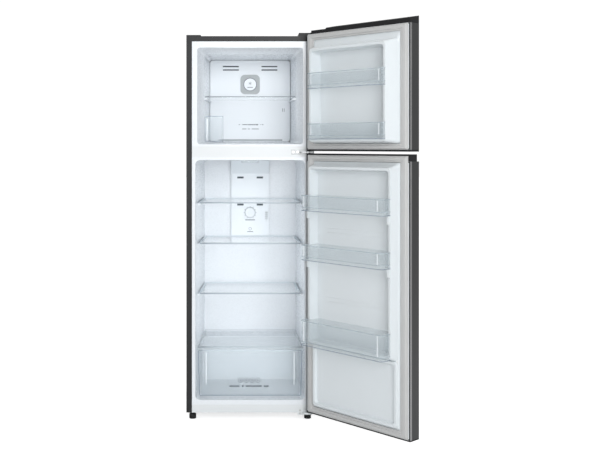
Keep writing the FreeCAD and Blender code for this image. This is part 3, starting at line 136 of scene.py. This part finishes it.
CABINET_STEEL = material("cabinet_steel", (0.018, 0.018, 0.019), 0.42, grain=900, bump=0.12,
                         Specular_IOR_Level=0.3)
DOOR_STEEL = material("door_steel", (0.092, 0.092, 0.094), 0.34, vary=0.22, patch=14, grain=1500,
                      bump=0.15, stretch=BRUSHED, Metallic=0.85)
# A lighter copy of the door steel: a painted highlight along the doors' rolled hems.
HEM_STEEL_PAINTED_HIGHLIGHT = material("hem_steel_painted_highlight", (0.38, 0.38, 0.385), 0.28, vary=0.12, patch=14, grain=1500, bump=0.1,
                     stretch=BRUSHED, Metallic=0.85)
GALVANISED = material("galvanised_steel", (0.46, 0.47, 0.48), 0.42, vary=0.16, patch=55, grain=240,
                      bump=0.12, Metallic=0.8)
WHITE_STEEL = material("white_steel", (0.50, 0.515, 0.52), 0.32, vary=0.02, grain=700, Coat_Weight=0.3)
LINER = material("liner_white", (0.755, 0.785, 0.815), 0.28, vary=0.018, patch=3, grain=260, bump=0.10,
                 Coat_Weight=0.15, Coat_Roughness=0.2)
# The cabinet liner's white made darker for the door liners: painted shade for doors that face away from
# the light.
DOOR_LINER_SHADED = material("door_liner_shaded_white", (0.675, 0.715, 0.735), 0.3, vary=0.018, patch=3, grain=260,
                      bump=0.10, Coat_Weight=0.15, Coat_Roughness=0.2)
PANEL = material("panel_white", (0.775, 0.81, 0.84), 0.36, vary=0.015, grain=600, bump=0.08)
TRIM_WHITE = material("trim_white", (0.70, 0.725, 0.735), 0.34, vary=0.015, grain=500, bump=0.08)
FOAM = material("insulation", (0.78, 0.79, 0.78), 0.9, vary=0.12, patch=30, grain=420, bump=0.6,
                depth=0.0012)
SEAL = material("seal_grey", (0.50, 0.50, 0.495), 0.58, vary=0.035, patch=8, grain=900, bump=0.12)
BLACK = material("black_plastic", (0.011, 0.011, 0.012), 0.45, vary=0.15, patch=12, grain=1100,
                 bump=0.22, Specular_IOR_Level=0.3)
GREY = material("grey_plastic", (0.385, 0.41, 0.42), 0.4, vary=0.03, grain=800, bump=0.12)
CLEAR = material("clear_plastic", (0.56, 0.635, 0.675), 0.12, vary=0.03, patch=6, grain=160, bump=0.05,
                 Alpha=0.11, Coat_Weight=0.2)
CLEAR_EDGE = material("clear_plastic_edge", (0.50, 0.575, 0.61), 0.18, vary=0.03, patch=6, grain=160,
                      bump=0.05, Alpha=0.45, Coat_Weight=0.2)
# A light, denser clear plastic: painted highlights on the bins' beads, the ice box's wall and the
# drawer's ribs.
CLEAR_PAINTED_HIGHLIGHT = material("clear_plastic_painted_highlight", (0.86, 0.90, 0.93), 0.15, vary=0.02, patch=6, grain=160,
                      bump=0.05, Alpha=0.65, Coat_Weight=0.4)
CLEAR_LINE = material("clear_plastic_line", (0.27, 0.33, 0.40), 0.2, vary=0.04, patch=6, grain=160,
                      bump=0.05, Alpha=0.6, Coat_Weight=0.2)
VENT_DARK = material("vent_shadow", (0.10, 0.115, 0.13), 0.8, vary=0.1, patch=20, grain=300, bump=0.1)
GLASS = material("shelf_glass", (0.55, 0.66, 0.69), 0.05, vary=0.02, patch=4, grain=90, bump=0.02,
                 Alpha=0.10, Coat_Weight=0.3)
SHELF_TRIM = material("shelf_trim", (0.72, 0.77, 0.81), 0.3, vary=0.03, grain=400, bump=0.06)
# Grey-blue painted shade: the front edges of the shelves and crisper cover, and the shadow in the return
# slot; also that slot's seam.
SHADE_AND_SEAM_GREY = material("shelf_front", (0.27, 0.305, 0.33), 0.3, vary=0.04, patch=12, grain=400,
                       bump=0.06)
# Dark strips of painted shade in place of the shade in the shelves' side grooves.
GROOVE_SHADE = material("painted_groove_shade", (0.24, 0.29, 0.33), 0.3, vary=0.06, patch=20, grain=400, bump=0.06)
COMPRESSOR = material("compressor_black", (0.018, 0.018, 0.019), 0.3, vary=0.2, patch=20, grain=600,
                      bump=0.25, Coat_Weight=0.5, Coat_Roughness=0.25)
ALUMINIUM = material("aluminium_fin", (0.72, 0.73, 0.74), 0.35, vary=0.08, patch=40, grain=500, bump=0.1,
                     Metallic=0.9)
COPPER = material("copper_tube", (0.72, 0.36, 0.22), 0.32, vary=0.18, patch=35, grain=400, bump=0.1,
                  Metallic=0.95)
ZINC = material("zinc", (0.56, 0.56, 0.55), 0.36, vary=0.1, patch=60, grain=500, bump=0.12,
                Metallic=0.85)
# Grey print, and also painted shade: the cover's grooves, the freezer shelf's front edge and the rings
# round the filter cap and dial.
PRINT_AND_SHADE = material("print_and_shade_grey", (0.16, 0.18, 0.20), 0.5, vary=0.08, patch=300, grain=1500, bump=0.05)

FINISHES = {
    CABINET_STEEL: "cabinet_shell",
    DOOR_STEEL: "freezer_door_skin fridge_door_skin",
    GALVANISED: "rear_panel base_pan",
    WHITE_STEEL: "middle_hinge_bracket",
    LINER: "freezer_liner fridge_liner",
    DOOR_LINER_SHADED: "freezer_door_liner fridge_door_liner",
    PANEL: "evaporator_cover air_duct_cover temperature_dial air_filter_cap",
    TRIM_WHITE: "mullion_cover front_bottom_rail bottom_hinge_bracket",
    FOAM: "cabinet_foam freezer_door_foam fridge_door_foam",
    SEAL: "freezer_door_gasket fridge_door_gasket",
    BLACK: "top_hinge_cover top_left_cap freezer_door_top_cap freezer_door_bottom_cap "
           "fridge_door_top_cap fridge_door_bottom_cap compressor_bay_cover drain_pan cord_gland "
           "levelling_foot_left levelling_foot_right rear_roller_left rear_roller_right "
           "evaporator_fan fan_motor",
    GREY: "air_filter_housing",
    CLEAR: "freezer_bin_upper freezer_bin_lower fridge_bin_upper fridge_bin_middle bottle_rack "
           "crisper_drawer ice_box freezer_shelf crisper_cover lamp_lens",
    GLASS: "fridge_shelf_top_glass fridge_shelf_middle_glass fridge_shelf_low_glass",
    SHELF_TRIM: "fridge_shelf_top_frame fridge_shelf_middle_frame fridge_shelf_low_frame",
    COMPRESSOR: "compressor condenser_coil",
    ALUMINIUM: "evaporator_coil",
    COPPER: "refrigerant_lines",
    ZINC: "top_hinge_bracket hinge_screws",
}


def finish_node(name, look):
    data = nodes[name].data
    data.materials.clear()
    data.materials.append(look)
    for face in data.polygons:
        face.material_index = 0


for look, names in FINISHES.items():
    for name in names.split():
        finish_node(name, look)


# ---- pieces laid out in millimetres, Y from the cabinet's front plane, doors shut ---------------

LAYOUT = Matrix.Translation((0, FRONT, 0)) @ Matrix.Scale(MM, 4)
swing = next(joint for joint in frame["joints"] if joint["name"] == "freezer_door_swing")
HINGE = Vector(swing["pos_m"])
OPEN = Matrix.Rotation(math.radians(-swing["range_deg"][0]), 4, "Z")
DOOR = Matrix.Translation(HINGE) @ OPEN @ Matrix.Translation(-HINGE) @ LAYOUT
DOOR_BODIES = ("freezer_door", "fridge_door", "freezer_bin_upper", "freezer_bin_lower",
               "fridge_bin_upper", "fridge_bin_middle", "bottle_rack")
SHARP_ANGLE = math.radians(35)


def piece(name, body, look, mesh, smooth=True):
    """Turn a mesh laid out in millimetres into a piece that rides on a body."""
    data = bpy.data.meshes.new(name)
    bmesh.ops.recalc_face_normals(mesh, faces=mesh.faces)
    mesh.transform(DOOR if body in DOOR_BODIES else LAYOUT)
    mesh.to_mesh(data)
    mesh.free()
    if smooth:
        data.shade_smooth()
        data.set_sharp_from_angle(angle=SHARP_ANGLE)
    data.materials.append(look)
    made = bpy.data.objects.new(name, data)
    scene.collection.objects.link(made)
    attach(made, body)
    return made


def about(middle, reach):
    """A span with its middle and its reach to each side."""
    return middle - reach, middle + reach


def slab(mesh, across, depth, height, bevel=0.0, turn=None):
    """A block over three spans, with bevelled edges."""
    size = [span[1] - span[0] for span in (across, depth, height)]
    middle = Vector([(span[1] + span[0]) / 2 for span in (across, depth, height)])
    place = Matrix.Translation(middle) @ (turn or Matrix()) @ Matrix.Diagonal((*size, 1))
    made = bmesh.ops.create_cube(mesh, size=1, matrix=place)
    if bevel:
        edges = dict.fromkeys(edge for vert in made["verts"] for edge in vert.link_edges)
        bmesh.ops.bevel(mesh, geom=list(edges), offset=bevel, segments=2, affect="EDGES",
                        profile=0.6)


def band(mesh, rings):
    """Join rings of equally many points into a closed skin round a loop."""
    verts = [[mesh.verts.new(point) for point in ring] for ring in rings]
    for here, following in zip(verts, verts[1:] + verts[:1]):
        for index in range(len(here)):
            ahead = (index + 1) % len(here)
            mesh.faces.new((here[index], here[ahead], following[ahead], following[index]))


def hoop(mesh, centre, radius, tube, steps=40, sides=8, squash=1.0):
    """A ring in the XZ plane with a round section."""
    x, y, z = centre
    turns = [2 * math.pi * step / steps for step in range(steps)]
    rings = []
    for side in range(sides):
        round_tube = 2 * math.pi * side / sides
        reach, lift = radius + tube * math.cos(round_tube), tube * squash * math.sin(round_tube)
        rings.append([(x + reach * math.cos(turn), y + lift, z + reach * math.sin(turn))
                      for turn in turns])
    band(mesh, rings)


def column(mesh, outline, low, high):
    """An upright bar with the given outline in the XY plane, closed at both ends."""
    lower, upper = ([mesh.verts.new((x, y, level)) for x, y in outline] for level in (low, high))
    for index in range(len(outline)):
        ahead = (index + 1) % len(outline)
        mesh.faces.new((lower[index], lower[ahead], upper[ahead], upper[index]))
    mesh.faces.new(lower)
    mesh.faces.new(upper)


def trough(half, back, front, corner, steps=6):
    """The outline of a bin's trough seen from above, as (point, outward direction) pairs."""
    outline = [((-half, back), (-1, 0))]
    for side, first in ((-1, 180), (1, 90)):
        for step in range(steps + 1):
            turn = math.radians(first - 90 * step / steps)
            way = (math.cos(turn), math.sin(turn))
            point = (side * (half - corner) + corner * way[0], front - corner + corner * way[1])
            outline.append((point, way))
    return outline + [((half, back), (1, 0))]


def strip(mesh, outline, low, high, out, inward):
    """A raised strip along an outline, from a depth inward of it to a height outward of it."""
    section = ((-inward, low), (out, low), (out, high), (-inward, high))
    rings = []
    for (x, y), (across, along) in outline:
        rings.append([mesh.verts.new((x + across * reach, y + along * reach, level))
                      for reach, level in section])
    for here, following in zip(rings, rings[1:]):
        for index in range(4):
            ahead = (index + 1) % 4
            mesh.faces.new((here[index], here[ahead], following[ahead], following[index]))
    mesh.faces.new(rings[0])
    mesh.faces.new(rings[-1])


# Door seals: a flat magnet band between two lower lips, mitred at the corners. A section's point
# has its share of the way from the outer to the inner edge, and its Y.
SEAL_SECTION = ((0, -9.9), (0, -8.6), (0.03, -7.4), (0.10, -7.0), (0.14, -7.2), (0.17, -6.6),
                (0.19, -4.6), (0.21, -2.4), (0.25, -1.5), (0.31, -1.3), (0.56, -1.3), (0.62, -1.5),
                (0.66, -2.6), (0.69, -4.2), (0.72, -5.0), (0.76, -4.6), (0.80, -4.0), (0.87, -3.9),
                (0.94, -4.6), (0.98, -6.4), (1, -8.6), (1, -9.9))
SEAL_OUTER, SEAL_INNER = 264.0, 228.5
for body, outer_low, inner_low, inner_high, outer_high in (("freezer_door", 1158, 1181, 1613, 1640),
                                                           ("fridge_door", 53, 81, 1108, 1133)):
    mesh = bmesh.new()
    rings = []
    for share, y in SEAL_SECTION:
        x = SEAL_OUTER + (SEAL_INNER - SEAL_OUTER) * share
        bottom = outer_low + (inner_low - outer_low) * share
        top = outer_high + (inner_high - outer_high) * share
        rings.append([(-x, y, bottom), (x, y, bottom), (x, y, top), (-x, y, top)])
    band(mesh, rings)
    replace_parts(piece(body + "_seal", body, SEAL, mesh), body + "_gasket")

# Door edges: a black strip of painted shadow in the gap between liner and skin, and the skin's rolled
# hem beside it in a lighter steel, a painted highlight.
DOOR_EDGE = 272.5
# The gap strip is black for the shadow between liner and skin: painted shadow.
SHADOW_GAP_SECTION = ((0.3, -10.1), (0.3, -9.5), (4.5, -9.5), (4.5, -10.1))
HEM_SECTION = ((0.1, -10.3), (-0.25, -11.5), (-0.5, -14), (-0.5, -17.5), (-0.1, -21), (0.4, -21),
               (0.4, -10.3))
for body, low, high in (("freezer_door", 1157.2, 1640.8), ("fridge_door", 52.2, 1111.8)):
    for part, section, look, slot in (("gap", SHADOW_GAP_SECTION, BLACK, "black_plastic"),
                                      ("hem", HEM_SECTION, HEM_STEEL_PAINTED_HIGHLIGHT, "door_steel")):
        mesh = bmesh.new()
        if part == "gap":
            band(mesh, [[(inset - DOOR_EDGE, y, low + inset), (DOOR_EDGE - inset, y, low + inset),
                         (DOOR_EDGE - inset, y, high - inset), (inset - DOOR_EDGE, y, high - inset)]
                        for inset, y in section])
        else:
            for side in (-1, 1):
                column(mesh, [(side * (DOOR_EDGE - inset), y) for inset, y in section], low, high)
        piece(f"{body}_{part}", body, look, mesh)

# Door bins: a thick rim, a rib and a base line round each trough, and a bead near each corner in a light
# clear plastic, a painted highlight.
# Columns: body, half width, back, front, corner radius, low, high.
BINS = (("freezer_bin_upper", 201, 50.6, 62, 8, 1405, 1471),
        ("freezer_bin_lower", 201, 50.6, 62, 8, 1198, 1263),
        ("fridge_bin_upper", 216, 38.6, 88, 16, 905, 969),
        ("fridge_bin_middle", 216, 38.6, 88, 16, 703, 766),
        ("bottle_rack", 216, 38.6, 88, 16, 355, 456))
BEAD_INSET = 22
for body, half, back, front, corner, low, high in BINS:
    outline = trough(half, back, front, corner)
    mesh = bmesh.new()
    strip(mesh, outline, high - 3, high + 0.2, 0.9, 2.5)
    strip(mesh, outline, low + 14, low + 16.5, 0.8, 0.1)
    piece(body + "_rim", body, CLEAR_EDGE, mesh)
    mesh = bmesh.new()
    strip(mesh, outline, low - 0.2, low + 2.4, 0.7, 0.4)
    piece(body + "_base", body, CLEAR_LINE, mesh)
    mesh = bmesh.new()
    for side in (-1, 1):
        slab(mesh, about(side * (half - BEAD_INSET), 3), (front - 0.4, front + 0.7),
             (low + 17, high - 4), 0.5)
    piece(body + "_bead", body, CLEAR_PAINTED_HIGHLIGHT, mesh)

# Ribs embossed across the fresh food door's panel.
mesh = bmesh.new()
for level in (832, 815, 548, 531):
    slab(mesh, (-150, 150), (-4.3, -3.1), about(level, 1.5), 0.5)
piece("fridge_door_ribs", "fridge_door", DOOR_LINER_SHADED, mesh)

# Fresh food shelves: painted shade along the front edge, and a dark strip of painted shade at the groove
# along each side.
SHELF_SIDE = math.atan(10 / 327)
GROOVE_X, GROOVE_HALF = 219.5, 0.9
for body, level in (("fridge_shelf_top", 926), ("fridge_shelf_middle", 748), ("fridge_shelf_low", 529)):
    mesh = bmesh.new()
    slab(mesh, (-221.5, 221.5), (99.2, 101), (level - 6.8, level + 0.2), 0.3)
    piece(body + "_front", body, SHADE_AND_SEAM_GREY, mesh)
    mesh = bmesh.new()
    for side in (-1, 1):
        slab(mesh, about(side * GROOVE_X, GROOVE_HALF), (104, 260), (level - 0.2, level + 0.5), 0.2,
             Matrix.Rotation(side * SHELF_SIDE, 4, "Z"))
    piece(body + "_line", body, GROOVE_SHADE, mesh)

# Crisper cover and freezer shelf: painted shade along the front edges, dark strips of painted shade at
# the cover's grooves, and its stops.
COVER_SIDE = math.atan(6 / 171)
mesh = bmesh.new()
slab(mesh, (-228, 228), (49.4, 50.6), (299, 305), 0.3)
piece("crisper_cover_front", "crisper_cover", SHADE_AND_SEAM_GREY, mesh)
mesh = bmesh.new()
for side in (-1, 1):
    slab(mesh, about(side * GROOVE_X, GROOVE_HALF), (52, 223), (306, 306.7), 0.2,
         Matrix.Rotation(side * COVER_SIDE, 4, "Z"))
    slab(mesh, about(side * 216.5, 2), (218, 227), (306, 306.9), 0.2)
piece("crisper_cover_line", "crisper_cover", PRINT_AND_SHADE, mesh)
mesh = bmesh.new()
slab(mesh, (-196, 196), (66.2, 67.6), (1382.6, 1386.2), 0.2)
piece("freezer_shelf_front", "freezer_shelf", PRINT_AND_SHADE, mesh)

# Ice box: its outline, and a painted highlight for the light caught in its thick left wall.
ICE_BOX_FRONT = (73.4, 74.4)
mesh = bmesh.new()
for left, right, low, high in ((-196, -194.6, 1190, 1301), (-118.2, -116.8, 1190, 1301),
                               (-194.6, -118.2, 1190, 1192), (-194.6, -118.2, 1298.4, 1301)):
    slab(mesh, (left, right), ICE_BOX_FRONT, (low, high), 0.2)
piece("ice_box_line", "ice_box", CLEAR_LINE, mesh)
mesh = bmesh.new()
slab(mesh, (-190.5, -184), ICE_BOX_FRONT, (1196, 1290), 0.3)
piece("ice_box_bead", "ice_box", CLEAR_PAINTED_HIGHLIGHT, mesh)

# Crisper drawer: its outline, two upright ribs in a light clear plastic as painted highlights, and the
# marks on its front.
FACE = 45
DRAWER_TOP, DRAWER_TALL, DRAWER_SLOPE = 290, 198, 7
EDGE_TURN = math.atan(5 / DRAWER_TALL)
LEAN = Matrix.Rotation(math.atan(DRAWER_SLOPE / DRAWER_TALL), 4, "X")
ICON_LEVEL, WORD_LEVEL = 159, 133


def face_at(level):
    """The drawer's front slopes back towards its base."""
    return FACE + DRAWER_SLOPE * (DRAWER_TOP - level) / DRAWER_TALL


mesh = bmesh.new()
for side in (-1, 1):
    slab(mesh, about(side * 221.3, 1.6), about(face_at(191), 0.6), (95, 287), 0.2,
         LEAN @ Matrix.Rotation(side * EDGE_TURN, 4, "Y"))
slab(mesh, (-217, 217), (face_at(94) - 0.8, face_at(94) + 0.4), (92, 95), 0.2)
piece("crisper_drawer_edges", "crisper_drawer", CLEAR_LINE, mesh)
mesh = bmesh.new()
slab(mesh, (-223, 223), (FACE - 0.8, FACE + 2.6), (287, 290.3), 0.5)
piece("crisper_drawer_rim", "crisper_drawer", CLEAR_EDGE, mesh)
mesh = bmesh.new()
for side in (-1, 1):
    slab(mesh, about(side * 190, 2.2), (face_at(210) - 0.8, face_at(210) + 0.2), (140, 280), 0.4,
         LEAN)
piece("crisper_drawer_highlight_ribs", "crisper_drawer", CLEAR_PAINTED_HIGHLIGHT, mesh)
mesh = bmesh.new()
for x in (-42, -17, 8, 33):
    hoop(mesh, (x, face_at(ICON_LEVEL) - 0.3, ICON_LEVEL), 10, 1.2)
    slab(mesh, about(x, 3.5), (face_at(ICON_LEVEL) - 0.6, face_at(ICON_LEVEL)),
         about(ICON_LEVEL, 3), 0.2)
for left, right in ((-90, -46), (-36, -28), (-20, 50), (58, 80)):
    slab(mesh, (left, right), (face_at(WORD_LEVEL) - 0.6, face_at(WORD_LEVEL)),
         about(WORD_LEVEL, 3.5), 0.2)
piece("crisper_drawer_label", "crisper_drawer", PRINT_AND_SHADE, mesh)

# Dark spaces behind the outlets of the two rear panels.
BEHIND_COVER, BEHIND_DUCT = (374, 375), (433, 434)
mesh = bmesh.new()
for side in (-1, 1):
    inner, outer = sorted((side * 50, side * 130))
    slab(mesh, (inner, outer), BEHIND_COVER, (1517, 1549))
    inner, outer = sorted((side * 28, side * 64))
    for level in (884, 1012):
        slab(mesh, (inner, outer), BEHIND_DUCT, (level, level + 19))
piece("outlet_shadow", "cabinet", VENT_DARK, mesh, smooth=False)

# The painted shadow in the freezer panel's return slot, and the seam below it.
mesh = bmesh.new()
slab(mesh, (-152, 152), BEHIND_COVER, (1192, 1204))
slab(mesh, (-176, 176), (369.6, 370.2), (1189.2, 1190.8), 0.1)
piece("return_shadow", "cabinet", SHADE_AND_SEAM_GREY, mesh, smooth=False)

# Printed marks: plain bars, ticks and rings in place of lettering; the rings round the filter cap and
# the dial are painted shade.
COVER_FACE, DUCT_FACE, CAP_FACE = 370, 430, 362
FILTER_LEVEL, DIAL_LEVEL, DIAL_TICKS, DIAL_END = 1457, 856, 28.5, 150
# Columns: left, right, level of the middle, height.
LABEL_BARS = ((-53, -48, 1270, 3), (-36, -12, 1270, 3.4), (-9, -2, 1270, 5), (0, 7, 1270, 5),
              (9, 16, 1270, 5), (18, 25, 1270, 5), (27, 37, 1270, 5.6), (47, 50, 1270, 3),
              (55, 62, 1270, 3), (-37, -17, 1250, 3), (-11, 0, 1250, 2.6), (7, 40, 1250, 3),
              (150, 152, 1338, 16), (158, 160, 1338, 16))


def mark(mesh, across, face, height, turn=None):
    """A printed bar standing a hair proud of a face."""
    slab(mesh, across, (face - 0.3, face + 0.1), height, 0.1, turn)


mesh = bmesh.new()
for left, right, level, tall in LABEL_BARS:
    mark(mesh, (left, right), COVER_FACE, about(level, tall / 2))
piece("freezer_label", "cabinet", PRINT_AND_SHADE, mesh)

mesh = bmesh.new()
# A dark ring of painted shade where the filter cap meets its well.
hoop(mesh, (0, CAP_FACE, FILTER_LEVEL), 29.4, 1.3, squash=0.4)
for turn in (0, 60, 120):
    mark(mesh, about(0, 0.8), CAP_FACE, about(FILTER_LEVEL + 5, 8),
         Matrix.Rotation(math.radians(turn), 4, "Y"))
mark(mesh, about(0, 13), CAP_FACE, (1442, 1445))
piece("filter_marks", "cabinet", PRINT_AND_SHADE, mesh)

mesh = bmesh.new()
for turn in range(-DIAL_END, DIAL_END + 1, 30):
    angle = math.radians(turn)
    x, z = DIAL_TICKS * math.sin(angle), DIAL_LEVEL + DIAL_TICKS * math.cos(angle)
    tall = 4.6 if abs(turn) == DIAL_END else 3.2
    mark(mesh, about(x, 0.9), DUCT_FACE, about(z, tall / 2), Matrix.Rotation(angle, 4, "Y"))
mark(mesh, about(0, 23), DUCT_FACE, (819, 823))
# A dark ring of painted shade round the dial's foot.
hoop(mesh, (0, DUCT_FACE, DIAL_LEVEL), 24.6, 0.7, squash=0.5)
hoop(mesh, (0, DUCT_FACE, 779), 6.5, 0.7, squash=0.5)
mark(mesh, about(0, 14), DUCT_FACE, (764, 767))
piece("dial_marks", "cabinet", PRINT_AND_SHADE, mesh)


# ---- stage, light and camera ------------------------------------------------------------------

def stage_plane(name, size, place, look):
    mesh = bpy.data.meshes.new(name)
    half = size / 2
    mesh.from_pydata([(-half, -half, 0), (half, -half, 0), (half, half, 0), (-half, half, 0)], [],
                     [(0, 1, 2, 3)])
    plane = bpy.data.objects.new(name, mesh)
    plane.location = place
    scene.collection.objects.link(plane)
    mesh.materials.append(look)
    plane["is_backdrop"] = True


def glow_for_camera(look, strength):
    """Whiten a surface for the eye without making it a light."""
    tree = look.node_tree
    seen = tree.nodes.new("ShaderNodeLightPath")
    glow = tree.nodes.new("ShaderNodeMath")
    glow.operation = "MULTIPLY"
    glow.inputs[1].default_value = strength
    tree.links.new(seen.outputs["Is Camera Ray"], glow.inputs[0])
    tree.links.new(glow.outputs["Value"], tree.nodes["Principled BSDF"].inputs["Emission Strength"])


FLOOR = material("studio_floor", (0.94, 0.94, 0.94), 0.8, vary=0.005, patch=1, grain=60, bump=0.02,
                 Emission_Color=(1, 1, 1, 1))
glow_for_camera(FLOOR, 0.68)
stage_plane("floor", 60, (0, 0, 0), FLOOR)


def set_sky():
    """White to the eye. As a light it is soft, and stronger from above, behind and the right."""
    world = bpy.data.worlds.new("studio")
    scene.world = world
    world.use_nodes = True
    tree = world.node_tree
    link = tree.links.new
    where = tree.nodes.new("ShaderNodeTexCoord")
    split = tree.nodes.new("ShaderNodeSeparateXYZ")
    link(where.outputs["Generated"], split.inputs["Vector"])
    total = None
    for axis, share in (("X", 0.06), ("Y", 0.08), ("Z", 0.10)):
        term = tree.nodes.new("ShaderNodeMath")
        term.operation = "MULTIPLY_ADD"
        term.inputs[1].default_value = share
        term.inputs[2].default_value = 0.44
        link(split.outputs[axis], term.inputs[0])
        if total:
            link(total, term.inputs[2])
        total = term.outputs["Value"]
    seen = tree.nodes.new("ShaderNodeLightPath")
    pick = tree.nodes.new("ShaderNodeMix")
    link(seen.outputs["Is Camera Ray"], pick.inputs["Factor"])
    link(total, pick.inputs["A"])
    pick.inputs["B"].default_value = 1.05
    tree.nodes["Background"].inputs["Color"].default_value = (1, 1, 1, 1)
    link(pick.outputs["Result"], tree.nodes["Background"].inputs["Strength"])


set_sky()
scene.view_settings.view_transform = "Standard"
scene.cycles.transparent_max_bounces = 40  # the clear pieces overlap many deep


def area_light(name, place, target, width, height, power, colour=(1, 1, 1), hidden=False):
    data = bpy.data.lights.new(name, "AREA")
    data.shape = "RECTANGLE"
    data.size, data.size_y = width, height
    data.energy = power
    data.color = colour
    lamp = bpy.data.objects.new(name, data)
    lamp.location = place
    lamp.rotation_euler = (Vector(target) - Vector(place)).to_track_quat("-Z", "Y").to_euler()
    if hidden:
        lamp.visible_camera = lamp.visible_glossy = lamp.visible_transmission = False
    scene.collection.objects.link(lamp)


area_light("front_box", (0.9, -5.0, 1.9), (0, 0, 0.9), 2.4, 2.4, 145, (0.97, 0.985, 1))
area_light("top_box", (-0.4, -0.4, 4.2), (0, -0.4, 0), 4.0, 4.0, 40)
for name, width, bottom, top, power in (("freezer_glow", 0.30, 1.24, 1.53, 0.16),
                                        ("fresh_food_glow", 0.36, 0.16, 1.05, 0.9)):
    middle = (bottom + top) / 2
    area_light(name, (0, FRONT + 0.03, middle), (0, FRONT + 1, middle), width, top - bottom, power,
               (0.96, 0.98, 1), hidden=True)

camera_data = bpy.data.cameras.new("camera")
camera_data.sensor_width = 36
camera_data.lens = 56.04
camera_data.shift_x = 0.0831
camera_data.shift_y = -0.1333
camera = bpy.data.objects.new("camera", camera_data)
camera.location = (0, -4.2345, 1.175)
camera.rotation_euler = (math.radians(90), 0, 0)
scene.collection.objects.link(camera)
scene.camera = camera

low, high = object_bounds()
